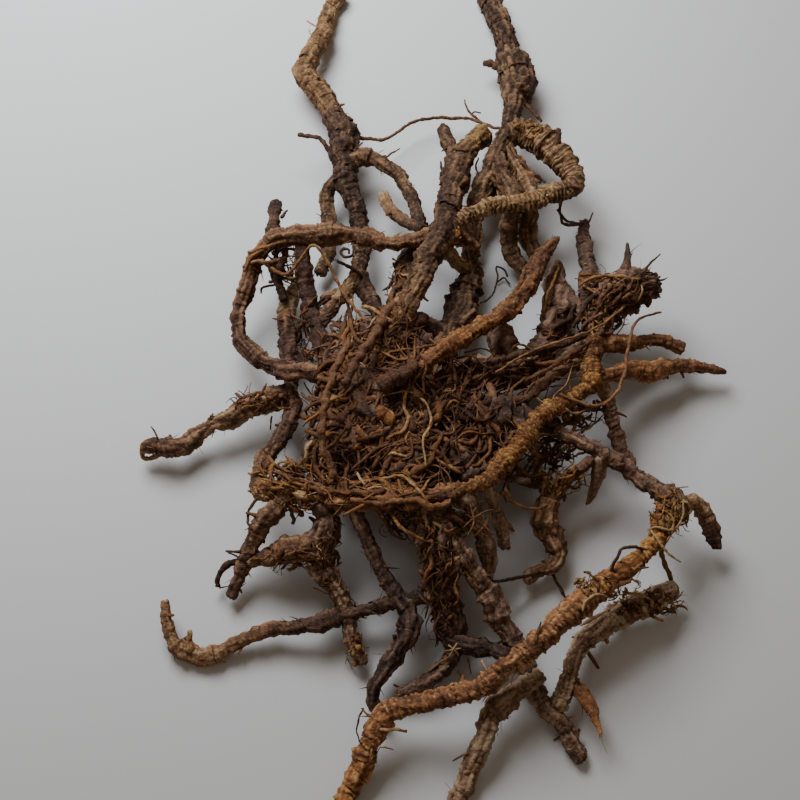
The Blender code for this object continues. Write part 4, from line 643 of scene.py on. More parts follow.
def smooth(rows, spans, count):
    """Rows of numbers at even stations of a smooth curve through them: a cubic on each span."""
    knots = np.concatenate([[0.0], np.cumsum(spans)])
    slopes = np.gradient(rows, knots, axis=0)
    along = np.linspace(0.0, knots[-1], count)
    span = np.clip(np.searchsorted(knots, along, side="right") - 1, 0, len(spans) - 1)
    share = ((along - knots[span]) / spans[span])[:, None]
    length = spans[span][:, None]
    return (rows[span] * (2 * share ** 3 - 3 * share ** 2 + 1)
            + slopes[span] * length * (share ** 3 - 2 * share ** 2 + share)
            + rows[span + 1] * (3 * share ** 2 - 2 * share ** 3)
            + slopes[span + 1] * length * (share ** 3 - share ** 2))


def waves(points, size, seed, count=18):
    """Smooth noise from about -1 to 1: a sum of plane waves in random directions, each about size long."""
    draw = np.random.default_rng(seed)
    direction = draw.normal(size=(count, 3))
    direction /= np.linalg.norm(direction, axis=1, keepdims=True)
    turns = direction * (2 * math.pi / (size * draw.uniform(0.7, 1.5, count)))[:, None]
    phase = draw.uniform(0, 2 * math.pi, count)
    return np.sin(points @ turns.T + phase).sum(axis=-1) * math.sqrt(2.0 / count) * 0.6


def scatter(whole, seed):
    """A number from 0 to 1 for each whole number: the fraction left by a large sine."""
    value = np.sin(whole * 12.9898 + seed * 4.1414) * 43758.5453
    return value - np.floor(value)


def joint_thickness(length, along, seed):
    """Uneven thickness from joint to joint of an arm, as a share of its radius.

    Each stretch between two nodes, 4 to 9 mm apart, has its own random level, which changes over about a
    millimetre at the node, and each node adds a low swelling, a bell curve of distance along the arm.
    """
    draw = np.random.default_rng(seed)
    nodes = np.cumsum(draw.uniform(4, 9, max(2, round(length / (5 * MM))))) * MM
    level = draw.normal(0, 0.08, len(nodes) + 1)
    knots = np.column_stack([nodes - 0.6 * MM, nodes + 0.6 * MM]).ravel()
    steps = np.interp(along, knots, np.column_stack([level[:-1], level[1:]]).ravel())
    swell = draw.uniform(0, 0.22, len(nodes)) * np.exp(-((along[:, None] - nodes) / (0.9 * MM)) ** 2)
    return steps + swell.sum(axis=1)


def ring_relief(points, along, pitch, evenness, seed):
    """Rings round an arm, and their grooves, each from about -1 to 1.

    The length over the pitch, shifted by slow noise, is cut into joints. Each joint rises as a power of
    its share towards the front rim and drops into a groove, a bell curve on the line between joints. A
    second slow noise lets the rings fade out and come back, the less so the more even they are.
    """
    phase = (along / pitch + 0.9 * np.sin(along / (4.7 * pitch))
             + 0.30 * waves(points, 9 * MM, seed) + 0.16 * waves(points, 2.6 * MM, seed + 1))
    joint = np.floor(phase)
    share = phase - joint
    fading = 1 / max(1.0, evenness)
    strength = ((0.8 + fading * (scatter(joint, seed) - 0.5))
                * np.clip(1 - fading * (0.25 - 0.9 * waves(points, 7 * MM, seed + 7)), 0.1, 1.4))
    groove = np.exp(-(np.minimum(share, 1 - share) / 0.15) ** 2) * strength
    return strength * (share ** 1.6 - 0.4) - 0.55 * groove, groove


def scar_relief(angle, along, radius, seed):
    """Root scars: low round nubs with a pit, bells of distance over the bark from random middles."""
    draw = np.random.default_rng(seed)
    length = float(along.max())
    relief = np.zeros_like(angle)
    for _ in range(max(1, round(length / (5 * MM)))):
        middle, turn = draw.uniform(0, length), draw.uniform(0, 2 * math.pi)
        size = draw.uniform(0.5, 1.2) * MM
        apart = (angle - turn + math.pi) % (2 * math.pi) - math.pi
        distance = ((along - middle) ** 2 + (apart * radius) ** 2) / size ** 2
        relief += draw.uniform(0.25, 0.75) * (np.exp(-distance) - np.exp(-7 * distance))
    return relief * MM


def arm_line(name):
    """Stations of an arm's centre line, evenly spaced, with radius, warmth and flakes at each."""
    route = np.array(ARMS[name], dtype=float)
    finish = FINISH[name]
    points, pixel = on_sight_lines(route[:, 0], route[:, 1], route[:, 2])
    spans = np.linalg.norm(np.diff(points, axis=0), axis=1)
    length = float(spans.sum())
    step = CROWN_STEP if finish.group == "crown" else FINE_STEP if finish.pitch < FINE_PITCH else 1.0
    count = max(12, round(length / (bpy.context.scene.rhizome_arms.spacing * step)))
    rows = smooth(np.column_stack([points, 0.5 * route[:, 3] * pixel]), spans, count)
    line, radius = rows[:, :3], np.maximum(rows[:, 3], THINNEST_ARM)
    seed = SWAY_SEED + 3 * list(ARMS).index(name)
    sway = np.stack([0.45 * waves(line, 13 * MM, seed + axis) + 0.22 * waves(line, 4.5 * MM, seed + axis + 90)
                     for axis in range(3)], axis=-1)
    line = line + sway * MM * np.clip(radius / (3.5 * MM), 0.3, 1.0)[:, None]
    share = np.linspace(0, 1, count)
    stops, warmth, flakes = np.array(finish.colours, dtype=float).T
    return Line(line, radius, np.interp(share, stops, warmth), np.interp(share, stops, flakes), length)


def arm_frames(line):
    """Tangents of one curve and two unit vectors square to them, the first of which starts level."""
    side = np.cross(np.gradient(line, axis=0)[:1], (0.0, 0.0, 1.0))
    return [vectors[0] for vectors in level_frames(line[None], side)]


def end_rounding(radius, length):
    """Share of the radius left near the two ends: a blunt quarter circle over a third of a radius at each."""
    along = np.linspace(0, length, len(radius))
    near = np.minimum(along, length - along) / (0.35 * radius)
    return np.sqrt(np.clip(1 - (1 - np.clip(near, 0, 1)) ** 2, 0.25, 1))


def rims(sides, over, angle):
    """Unit vectors from a curve's stations out to its skin: side * cos + over * sin."""
    return sides[..., None, :] * np.cos(angle)[..., None] + over[..., None, :] * np.sin(angle)[..., None]


def closed_skin(skin):
    """Faces of closed tubes: skin is (curves, stations, around, 3), and a pole is added at each end."""
    curves, stations, around, _ = skin.shape
    skin[..., 2] = np.maximum(skin[..., 2], 0.0)
    poles = skin[:, (0, -1)].mean(axis=2)
    vertices = np.concatenate([skin.reshape(curves, -1, 3), poles], axis=1)
    first = (np.arange(curves) * vertices.shape[1])[:, None, None]
    row = (np.arange(stations - 1) * around)[None, :, None]
    here = np.arange(around)[None, None, :]
    beside = (here + 1) % around
    quads = np.stack([first + row + here, first + row + beside,
                      first + row + around + beside, first + row + around + here], axis=-1).reshape(-1, 4)
    pole = first[:, :, 0] + stations * around
    last = first[:, 0] + (stations - 1) * around
    start_fan = np.stack([np.broadcast_to(pole, (curves, around)),
                          first[:, 0] + beside[0], first[:, 0] + here[0]], axis=-1)
    end_fan = np.stack([np.broadcast_to(pole + 1, (curves, around)),
                        last + here[0], last + beside[0]], axis=-1)
    return vertices.reshape(-1, 3), quads, np.concatenate([start_fan, end_fan]).reshape(-1, 3)


def with_poles(values):
    """One row for each vertex of a tube: those of its skin, then those of its two poles."""
    flat = values.reshape(values.shape[0], -1, values.shape[-1])
    poles = values[:, (0, -1)].mean(axis=2)
    return np.concatenate([flat, poles], axis=1).reshape(-1, values.shape[-1])


def closed_tubes(shape, skin, warmth, flakes, crest_and_groove_shade):
    """Faces of tubes, and the two vectors that their bark reads at each vertex.

    Skin is the place on the bark as if the tube were straight, and colour is (warmth, flakes, crest),
    where the crest makes crests paler and paints shade into grooves.
    """
    vertices, quads, triangles = closed_skin(shape)
    colour = np.stack(np.broadcast_arrays(warmth, flakes, crest_and_groove_shade), axis=-1)
    return {"vertices": vertices, "quads": quads, "triangles": triangles,
            "skin": with_poles(skin), "colour": with_poles(colour)}


def arm_surface(name):
    """The bark of one arm, as a surface of (length, angle).

    Radius = the route's radius * (1 + joints + lumps) + rings + lengthwise folds + scars + grain. Lumps
    are slow noise. Folds are the size of noise stretched along the arm, less a half, which makes round
    crests and sharp valleys, and grain is the same of fine, even noise. Near a free end the skin is also
    shifted along the arm by noise, so the end looks torn. The crest value for the colour is the relief
    over half a millimetre, with the ring grooves sunk further. It makes crests paler and paints shade into
    the grooves.
    """
    settings = bpy.context.scene.rhizome_arms
    finish = FINISH[name]
    seed = BARK_SEED + 10 * list(ARMS).index(name)
    line, radius, warmth, flakes, length = arm_line(name)
    step = settings.side_step * (CROWN_STEP if finish.group == "crown" else 1.0)
    around = int(np.clip(round(2 * math.pi * float(radius.max()) / step), *SIDES))
    tangents, sides, over = arm_frames(line)
    angle = np.broadcast_to(2 * math.pi * np.arange(around) / around, (len(line), around))
    distance = np.linspace(0, length, len(line))
    along = np.broadcast_to(distance[:, None], angle.shape)
    thick = np.broadcast_to(radius[:, None], angle.shape)
    rim = rims(sides, over, angle[0])
    place = line[:, None, :] + rim * thick[..., None]
    skin = np.stack([thick * np.cos(angle), thick * np.sin(angle), along], axis=-1)
    stretched = skin * np.array([1.0, 1.0, 0.15]) + seed * MM

    rings, groove = ring_relief(place, along, finish.pitch * MM, finish.rings, seed)
    ring_depth = settings.ring_depth * finish.rings
    uneven = (joint_thickness(length, distance, seed + 8)[:, None]
              + 0.07 * waves(place, 8 * MM, seed + 2) + 0.08 * waves(place, 3.4 * MM, seed + 3))
    folds = np.abs(waves(stretched, 2.6 * MM, seed + 4)) - 0.5
    grain = np.abs(waves(place, 1.8 * MM, seed + 5)) - 0.5
    relief = (ring_depth * rings + settings.fold_depth * finish.folds * folds
              + settings.grain_depth * finish.grain * grain + scar_relief(angle, along, thick, seed + 6))
    relief = relief * np.clip(thick / FULL_RELIEF_RADIUS, 0.25, 1.0)
    radii = (thick * (1 + uneven) + relief) * end_rounding(radius, length)[:, None]
    ending = np.exp(-(np.minimum(distance, length - distance) / (1.2 * MM)) ** 2)[:, None]
    torn = ending * 0.5 * MM * waves(place, 1.8 * MM, seed + 9)
    shape = line[:, None, :] + rim * radii[..., None] + tangents[:, None, :] * torn[..., None]
    # Colour crest: paler on crests, and painted shade in the grooves and ring grooves
    crest_and_groove_shade = np.clip((relief - 0.5 * ring_depth * groove) / CREST_HEIGHT, -1, 1)
    return closed_tubes(shape[None], skin[None], warmth[None, :, None], flakes[None, :, None], crest_and_groove_shade[None])


def strand_surface(points, radii, warmth, flakes, side=None, flat=1.0, around=5):
    """Many thin roots at once: points is (roots, stations, 3), radii (roots, stations).

    flat below 1 makes each a blade: its radius across its thin way is that share of the other. Noise makes
    the skin knobbly. The knobs and thick stretches are the paler crests of its colour, and the dips and thin
    stretches get painted shade.
    """
    if side is None:
        side = np.cross(points[:, 1] - points[:, 0], (0.31, 0.17, 0.93))
    _, sides, over = level_frames(points, side)
    angle = 2 * math.pi * np.arange(around) / around
    rim = rims(sides, over, angle)
    spread = radii[:, :, None] * np.sqrt(np.cos(angle) ** 2 + (flat * np.sin(angle)) ** 2)
    place = points[:, :, None, :] + rim * spread[..., None]
    knobs = waves(place, 2.8 * MM, KNOB_SEED) + 0.7 * waves(place, 1.1 * MM, KNOB_SEED + 1)
    spread = spread * (1 + 0.11 * knobs)
    along = np.cumsum(np.linalg.norm(np.diff(points, axis=1, prepend=points[:, :1]), axis=2), axis=1)
    skin = np.stack([spread * np.cos(angle), spread * np.sin(angle),
                     np.broadcast_to(along[:, :, None], spread.shape)], axis=-1)
    # Colour crest: paler on knobs and thick stretches, painted shade in dips and thin stretches
    crest_and_groove_shade = 0.6 * (radii / radii.mean(axis=1, keepdims=True) - 1)[:, :, None] + 0.3 * knobs
    return closed_tubes(points[:, :, None, :] + rim * spread[..., None], skin,
                        warmth[:, None, None], flakes[:, None, None], np.clip(crest_and_groove_shade, -0.6, 0.6))


def placed(name, data):
    """A new object at the origin, in the scene's own collection."""
    thing = bpy.data.objects.new(name, data)
    bpy.context.scene.collection.objects.link(thing)
    return thing


def make_piece(name, surfaces, material):
    """One object of one or more surfaces, which rides with the clump and stands for its solid."""
    offsets = np.cumsum([0] + [len(surface["vertices"]) for surface in surfaces[:-1]])
    vertices = np.concatenate([surface["vertices"] for surface in surfaces])
    quads, triangles = (np.concatenate([surface[kind] + offset for surface, offset in zip(surfaces, offsets)])
                        for kind in ("quads", "triangles"))
    corners = np.concatenate([quads.ravel(), triangles.ravel()])
    starts = np.concatenate([np.arange(len(quads)) * 4, len(quads) * 4 + np.arange(len(triangles)) * 3])
    mesh = bpy.data.meshes.new(name)
    mesh.vertices.add(len(vertices))
    mesh.vertices.foreach_set("co", vertices.astype(np.float32).ravel())
    mesh.loops.add(len(corners))
    mesh.loops.foreach_set("vertex_index", corners.astype(np.int32))
    mesh.polygons.add(len(starts))
    mesh.polygons.foreach_set("loop_start", starts.astype(np.int32))
    mesh.update(calc_edges=True)
    for layer in ("skin", "colour"):
        values = np.concatenate([surface[layer] for surface in surfaces])
        attribute = mesh.attributes.new(layer, "FLOAT_VECTOR", "POINT")
        attribute.data.foreach_set("vector", values.astype(np.float32).ravel())
    mesh.validate()
    mesh.shade_smooth()
    mesh.materials.append(material)
    piece = placed(name, mesh)
    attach(piece, "root")
    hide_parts(NODE)


def relief_map():
    """Height of the clump's top, in metres, on a square grid of cells seen from straight above.

    Each arm is a row of balls. A ball's top over a cell is its middle's height plus the root of its
    radius squared less the distance squared, and the highest top over a cell counts.
    """
    cells = np.zeros(MAP_CELLS)
    for name in ARMS:
        arm = arm_line(name)
        line, radius = arm.points[::2], arm.radius[::2]
        reach = int(math.ceil(float(radius.max()) / (0.6 * MAP_STEP)))
        across, along = np.meshgrid(*[np.linspace(-1, 1, 2 * reach + 1)] * 2)
        inside = across ** 2 + along ** 2 <= 1
        offset = np.column_stack([across[inside], along[inside]])
        spots = line[:, None, :2] + radius[:, None, None] * offset
        tops = line[:, None, 2] + radius[:, None] * np.sqrt(1 - (offset ** 2).sum(axis=1))
        np.maximum.at(cells, map_cells(spots), tops)
    return cells


def map_cells(spots):
    """Row and column of the relief map's cells under the spots."""
    index = np.floor((spots - CAD_BOX[0][:2]) / MAP_STEP).astype(int) + MAP_MARGIN
    return tuple(np.clip(index[..., axis], 0, MAP_CELLS[axis] - 1) for axis in (0, 1))


def seen_heights(across, down, relief):
    """Height in millimetres at which each sight line first meets the clump, or 0 where it meets the floor.

    Each line is tried at many heights from the top down. The first that lies under the relief there counts.
    """
    tries = np.linspace(TOP / MM, 0.0, HEIGHT_TRIES)
    points, _ = on_sight_lines(across[..., None], down[..., None], tries)
    met = relief[map_cells(points[..., :2])] >= points[..., 2]
    met[..., -1] = True
    return tries[met.argmax(axis=-1)]


def taut(heights, fall):
    """Heights of roots drawn tight over what they lie on, in millimetres.

    Each station takes the greatest of all heights less a fall for each station between, then the mean of
    itself and its two neighbours.
    """
    place = np.arange(heights.shape[1])
    apart = np.abs(place[:, None] - place[None, :])
    pulled = (heights[:, None, :] - fall * apart).max(axis=2)
    padded = np.pad(pulled, ((0, 0), (1, 1)), mode="edge")
    return (padded[:, :-2] + padded[:, 1:-1] + padded[:, 2:]) / 3


def tangle(region, seed, count, stations, relief):
    """Rootlets matted in one place, drawn in the picture's plane and laid over the clump.

    Each sets off from a random spot at its own heading, which then turns as a steady bend, two sines and
    one sudden kink. It is drawn tight over what the eye sees there, between the region's two heights,
    stands off it by its own lift, and dips towards both ends, which tucks the ends in.
    """
    draw = np.random.default_rng(seed)
    each = (count, 1)
    turn = draw.uniform(0, 2 * math.pi, count)
    reach = np.sqrt(draw.uniform(0, 1, count))
    share = np.linspace(0, 1, stations)[None, :]
    heading = np.radians(region.way + region.stray * draw.uniform(-1, 1, count))[:, None]
    heading = (heading + draw.normal(0, 0.60, each) * (share - 0.5) * 2
               + draw.uniform(0.05, 0.60, each) * np.sin(5 * share + draw.uniform(0, 6.3, each))
               + draw.uniform(0.0, 0.40, each) * np.sin(13 * share + draw.uniform(0, 6.3, each))
               + draw.normal(0, 0.45, each) * np.tanh((share - draw.uniform(0.1, 0.9, each)) * 22))
    step = (region.length * draw.uniform(0.35, 1.25, count) / stations)[:, None]
    places = []
    for axis, wave in enumerate((np.cos, np.sin)):
        course = np.cumsum(wave(heading) * step, axis=1)
        centre = region.middle[axis] + region.half[axis] * reach * wave(turn)
        places.append(course + (centre[:, None] - course.mean(axis=1, keepdims=True)))
    across, down = places
    level = np.clip(seen_heights(across, down, relief), *region.heights)
    height = (taut(level, 0.5) + draw.uniform(-0.6, 1.6, each)
              - (2 * share - 1) ** 4 * draw.uniform(0.5, 3.0, each)
              + 0.5 * np.sin(7 * share + draw.uniform(0, 6.3, each)))
    points, pixel = on_sight_lines(across, down, height)
    taper = 1 - 0.7 * share ** 3 - 0.25 * (1 - share) ** 4
    pale = draw.uniform(size=count) < 0.22 * region.flakes
    radii = 0.5 * region.width * pixel * np.clip(draw.gamma(2.4, 1 / 2.4, each), 0.35, 2.8) * taper
    radii *= draw.uniform(0.8, 1.2, (count, stations)) * np.where(pale, 0.7, 1.0)[:, None]
    own = np.where(pale, draw.uniform(0.65, 0.95, count), region.warmth + draw.normal(0, 0.12, count))
    return strand_surface(held_between(points, 0.6, 1.2), np.maximum(radii, THINNEST_MAT_ROOT), own,
                          region.flakes + draw.normal(0, 0.15, count), around=4)


def single_root(rows, warmth, flakes, width_share):
    """One traced rootlet or twig, on a smooth curve through its points, with a slightly uneven width."""
    route = np.array(rows, dtype=float)
    points, pixel = on_sight_lines(route[:, 0], route[:, 1], route[:, 2])
    return wavering(np.column_stack([points, 0.5 * route[:, 3] * pixel * width_share]), warmth, flakes)


def laid_root(rows, lift, warmth, flakes, relief):
    """One traced rootlet that lies on the clump: drawn tight over what the eye sees there, and lifted."""
    route = np.array(rows, dtype=float)
    spans = np.hypot(*np.diff(route[:, :2], axis=0).T)
    fine = smooth(route, spans, max(8, round(float(spans.sum()) / 3)))
    seen = seen_heights(fine[:, 0], fine[:, 1], relief)
    points, pixel = on_sight_lines(fine[:, 0], fine[:, 1], taut(seen[None], 0.35)[0] + lift)
    radii = 0.5 * np.maximum(fine[:, 2], 0.8) * pixel
    return wavering(np.column_stack([held_between(points, 0.5, 1.0), radii]), warmth, flakes)


def wavering(rows, warmth, flakes):
    """A root on a smooth curve through rows of places and radii, its line and its width a little uneven."""
    spans = np.linalg.norm(np.diff(rows[:, :3], axis=0), axis=1)
    line = smooth(rows, spans, max(8, round(float(spans.sum()) / ROOT_STEP)))
    place = line[:, :3]
    slight = np.clip(line[:, 3:] / MM, 0.4, 1.0)
    radii = np.maximum(line[:, 3], THINNEST_ROOT) * (1 + 0.17 * waves(place, 1.6 * MM, len(rows)))
    wander = [0.35 * waves(place, 4 * MM, seed) + 0.14 * waves(place, 1.6 * MM, seed + 9)
              for seed in WANDER_SEEDS]
    place = place + MM * slight * np.stack(wander, axis=-1)
    return strand_surface(place[None], radii[None], np.array([warmth]), np.array([flakes]),
                          around=10 if float(line[:, 3].max()) > MM else 6)


def bark_spots(draw, count, share_of_shag):
    """Random spots on the bark: place, outward and forward directions, radius, warmth and flakes.

    Arms are drawn in proportion to their length times a weight, which blends 1 with the arm's shag.
    """
    lines = [arm_line(name) for name in FINISH]
    shag = np.array([finish.shag for finish in FINISH.values()])
    weight = np.array([line.length for line in lines]) * (1 - share_of_shag + share_of_shag * shag * 2)
    picks = np.bincount(draw.choice(len(lines), count, p=weight / weight.sum()), minlength=len(lines))
    gathered = []
    for line, pick in zip(lines, picks):
        if pick:
            station = draw.integers(2, len(line.points) - 2, pick)
            tangents, sides, over = (vectors[station] for vectors in arm_frames(line.points))
            angle = draw.uniform(-0.35, 1.35, pick)[:, None] * math.pi
            out = sides * np.cos(angle) + over * np.sin(angle)
            radius, warmth, flakes = (values[station][:, None]
                                      for values in (line.radius, line.warmth, line.flakes))
            place = line.points[station] + out * radius * 0.94
            gathered.append(np.hstack([place, out, tangents, radius, warmth, flakes]))
    rows = np.concatenate(gathered)
    return rows[:, :3], rows[:, 3:6], rows[:, 6:9], *rows[:, 9:].T


def springing(start, lean, bend, length, stations, lowest):
    """Curves that leave the bark, start + length * (lean * share + bend * share squared), and the shares."""
    share = np.linspace(0, 1, stations)
    course = lean[:, None] * share[:, None] + bend[:, None] * share[:, None] ** 2
    return held_between(start[:, None] + (length * MM)[:, None, None] * course, lowest), share


def hairs(draw, count):
    """Fine root hairs: each leaves the bark, leans and bends as the square of its share of length."""
    place, out, ahead, _, warmth, flakes = bark_spots(draw, count, 0.7)
    length = np.minimum(draw.gamma(2.0, 0.7, count), 3.5)
    lean = out * draw.uniform(0.2, 0.8, (count, 1)) + ahead * draw.normal(0, 0.8, (count, 1))
    bend = draw.normal(0, 0.6, (count, 3)) - np.array([0, 0, 0.3])
    points, share = springing(place - out * 0.3 * MM, lean, bend, length, 5, 0.2)
    radii = (draw.uniform(0.08, 0.18, count) * MM)[:, None] * (1 - 0.6 * share)
    return strand_surface(points, radii, warmth + draw.uniform(-0.1, 0.4, count), flakes, around=3)


def shreds(draw, count):
    """Torn bark and old leaf bases: pointed blades that lie along the arm and lift at their tips."""
    place, out, ahead, _, warmth, flakes = bark_spots(draw, count, 0.8)
    length = draw.uniform(1.0, 4.0, count)
    sense = np.where(draw.uniform(size=(count, 1)) < 0.7, 1.0, -1.0)
    slew = np.cross(out, ahead) * draw.normal(0, 0.6, (count, 1))
    course = ahead * sense + slew + out * 0.05
    lift = out * draw.uniform(0.0, 0.45, (count, 1)) + np.cross(out, ahead) * draw.normal(0, 0.25, (count, 1))
    points, share = springing(place, course, lift, length, 5, 0.2)
    radii = (draw.uniform(0.18, 0.5, count) * MM)[:, None] * (1 - 0.85 * share ** 1.6)
    return strand_surface(points, radii, warmth + draw.uniform(-0.1, 0.26, count), flakes,
                          np.cross(course, out), 0.35, 4)


def root_stubs(draw, count):
    """Stumps of snapped roots: short, stout and bent, square to the bark."""
    place, out, ahead, radius, warmth, flakes = bark_spots(draw, count, 0.2)
    length = np.minimum(draw.gamma(3.0, 0.6, count), 2.6)
    lean = out + ahead * draw.normal(0, 0.6, (count, 1))
    bend = draw.normal(0, 0.5, (count, 3))
    points, share = springing(place - out * 0.5 * MM, lean, bend, length, 6, 0.3)
    size = np.minimum(draw.uniform(0.3, 0.8, count) * MM, 0.35 * radius)
    radii = size[:, None] * (1.3 - 0.6 * share) * draw.uniform(0.85, 1.15, (count, 6))
    return strand_surface(points, radii, warmth * 0.8 + draw.uniform(-0.08, 0.12, count), flakes)


class Value:
    """A socket that sums can be written on: each operator adds its Math node."""

    def __init__(self, tree, socket):
        self.tree = tree
        self.socket = socket

    def maths(self, operation, first, second=0.0):
        node = self.tree.nodes.new("ShaderNodeMath")
        node.operation = operation
        fill(self.tree, node.inputs[0], first)
        fill(self.tree, node.inputs[1], second)
        return Value(self.tree, node.outputs[0])

    def __add__(self, other):
        return self.maths("ADD", self, other)

    def __radd__(self, other):
        return self.maths("ADD", other, self)

    def __sub__(self, other):
        return self.maths("SUBTRACT", self, other)

    def __rsub__(self, other):
        return self.maths("SUBTRACT", other, self)

    def __mul__(self, other):
        return self.maths("MULTIPLY", self, other)

    def __rmul__(self, other):
        return self.maths("MULTIPLY", other, self)

    def clamped(self):
        return self.maths("MINIMUM", self.maths("MAXIMUM", self, 0.0), 1.0)


def fill(tree, socket, value):
    """Link a value to a socket, or set the socket to a plain number, vector or colour."""
    if isinstance(value, Value):
        tree.links.new(value.socket, socket)
    else:
        socket.default_value = value


class Recipe:
    """A material being mixed."""

    def __init__(self, name, roughness, specular):
        self.material = bpy.data.materials.new(name)
        self.material.use_nodes = True
        self.tree = self.material.node_tree
        self.surface = self.tree.nodes["Principled BSDF"]
        self.surface.inputs["Roughness"].default_value = roughness
        self.surface.inputs["Specular IOR Level"].default_value = specular

    def node(self, kind, output, settings, sockets):
        """An output of any node, or several of them, by name or number. The node is made from its type, its
        settings, then values or links for its sockets, by name or number."""
        node = self.tree.nodes.new(kind)
        for setting, value in settings.items():
            if setting == "stops":
                ramp = node.color_ramp.elements
                while len(ramp) < len(value):
                    ramp.new(1.0)
                for element, (position, colour) in zip(ramp, value):
                    element.position = position
                    element.color = (*colour, 1.0)
            else:
                setattr(node, setting, value)
        for socket, value in sockets.items():
            fill(self.tree, node.inputs[socket], value)
        if isinstance(output, tuple):
            return [Value(self.tree, node.outputs[one]) for one in output]
        return Value(self.tree, node.outputs[output])

    def own_place(self):
        """Object coordinates."""
        return self.node("ShaderNodeTexCoord", "Object", {}, {})

    def layer(self, name):
        """A vector that is kept at each vertex."""
        return self.node("ShaderNodeAttribute", "Vector", {"attribute_name": name}, {})

    def noise(self, place, per_metre, detail, seed=0.0):
        """Noise from 0 to 1 whose patches are one over per_metre wide."""
        shifted = self.node("ShaderNodeVectorMath", "Vector", {"operation": "ADD"},
                            {0: place, 1: (seed, seed * 0.7, seed * 1.3)})
        return self.node("ShaderNodeTexNoise", 0, {}, {"Vector": shifted, "Scale": per_metre,
                                                       "Detail": detail, "Roughness": 0.6})

    def blend(self, factor, first, second):
        """Two colours mixed by a factor."""
        first, second = (value if isinstance(value, Value) else (*value, 1.0) for value in (first, second))
        return self.node("ShaderNodeMix", 2, {"data_type": "RGBA", "clamp_factor": True},
                         {0: factor, 6: first, 7: second})

    def feed(self, socket, value):
        fill(self.tree, self.surface.inputs[socket], value)


def bark_material(name, brightness, roughness, saturation, hue=0.5):
    """Dry bark. Warmth picks the brown on a ramp, after blotches, streaks along the arm, grain and the
    height of the relief have shifted it. The relief makes crests paler, partly as the bark's own colour, and
    paints shade into its grooves. Flakes lay yellow scurf over it where fine noise passes a limit that they
    set and make the brown stronger, and valleys in the relief are dimmed further as painted shade. A hue
    over a half is yellower."""
    settings = bpy.context.scene.rhizome_finish
    recipe = Recipe(name, roughness, 0.10)
    place = recipe.own_place()
    warmth, flakes, crest_and_groove_shade = recipe.node("ShaderNodeSeparateXYZ", ("X", "Y", "Z"), {},
                                        {"Vector": recipe.layer("colour")})
    stretched = recipe.node("ShaderNodeMapping", "Vector", {},
                            {"Vector": recipe.layer("skin"), "Scale": (1.0, 1.0, 0.14)})
    streaks = recipe.noise(stretched, 900.0, 3.0)
    blotches = recipe.noise(place, 150.0, 3.0, 3.1)
    spots = recipe.noise(place, 480.0, 3.0, 7.7)
    grain = recipe.noise(place, 1150.0, 4.0, 1.7)
    scurf = recipe.noise(place, 900.0, 5.0, 5.3)

    # The crest term lifts crests towards paler bark and sinks grooves towards dark bark, which is partly
    # painted shade
    shade = (warmth + (blotches - 0.5) * 0.26 + (streaks - 0.5) * 0.46 + (spots - 0.5) * 0.14
             + (grain - 0.5) * 0.75 + crest_and_groove_shade * 0.24)
    brown = recipe.node("ShaderNodeValToRGB", "Color", {"stops": [
        (0.0, settings.darkest), (0.22, settings.dark), (0.46, settings.middle),
        (0.68, settings.warm), (0.86, settings.light), (1.0, settings.straw)]}, {"Fac": shade})
    yellow = ((scurf - 0.66 + flakes * 0.20 + crest_and_groove_shade * 0.05 + (blotches - 0.5) * 0.25) * 9.0).clamped() * 0.75
    # Painted shade: the grooves of the relief are darkened
    painted_groove_shade = (0.0 - crest_and_groove_shade).clamped()
    recipe.feed("Base Color", recipe.node("ShaderNodeHueSaturation", "Color", {}, {
        "Hue": hue, "Saturation": saturation * (0.92 + flakes * 0.18),
        "Value": brightness * (1.0 - painted_groove_shade * 0.4), "Color": recipe.blend(yellow, brown, settings.scurf)}))
    recipe.feed("Roughness", (roughness + (grain - 0.5) * 0.3 - (1 - warmth) * 0.08).clamped())
    recipe.feed("Normal", recipe.node("ShaderNodeBump", "Normal", {}, {
        "Height": grain * 0.9 + streaks * 0.5 + scurf * 0.5 + spots * 0.4, "Distance": 0.6 * MM,
        "Strength": 1.0}))
    return recipe.material


def floor_material():
    """Plain pale matt board, with a faint unevenness."""
    colour = bpy.context.scene.rhizome_stage.floor_colour
    recipe = Recipe("pale floor", 0.7, 0.2)
    cloud = recipe.noise(recipe.own_place(), 6.0, 2.0)
    recipe.feed("Base Color", recipe.blend(cloud, colour, [0.97 * channel for channel in colour]))
    return recipe.material


def add_floor(settings):
    """A plain square floor, just under the clump."""
    half = settings.floor_size / 2
    mesh = bpy.data.meshes.new("floor")
    corners = [(-half, -half, FLOOR_HEIGHT), (half, -half, FLOOR_HEIGHT),
               (half, half, FLOOR_HEIGHT), (-half, half, FLOOR_HEIGHT)]
    mesh.from_pydata(corners, [], [(0, 1, 2, 3)])
    mesh.materials.append(floor_material())
    placed("floor", mesh)


def add_window(settings):
    """The soft light: a square lamp behind the clump on the left, which faces its aim."""
    light = bpy.data.lights.new("window", "AREA")
    light.energy = settings.window_power
    light.size = settings.window_size
    light.color = settings.window_colour
    lamp = placed("window", light)
    rise, turn = settings.window_height, settings.window_turn
    way = Vector((-math.sin(turn) * math.cos(rise), math.cos(turn) * math.cos(rise), math.sin(rise)))
    lamp.location = way * settings.window_distance
    lamp.rotation_euler = (lamp.location - Vector(settings.window_aim)).to_track_quat("Z", "Y").to_euler()


def add_room_light(settings):
    """Even light from all round."""
    world = bpy.data.worlds.new("room")
    world.use_nodes = True
    backdrop = world.node_tree.nodes["Background"]
    backdrop.inputs["Color"].default_value = (*settings.room_colour, 1.0)
    backdrop.inputs["Strength"].default_value = settings.sky
    bpy.context.scene.world = world


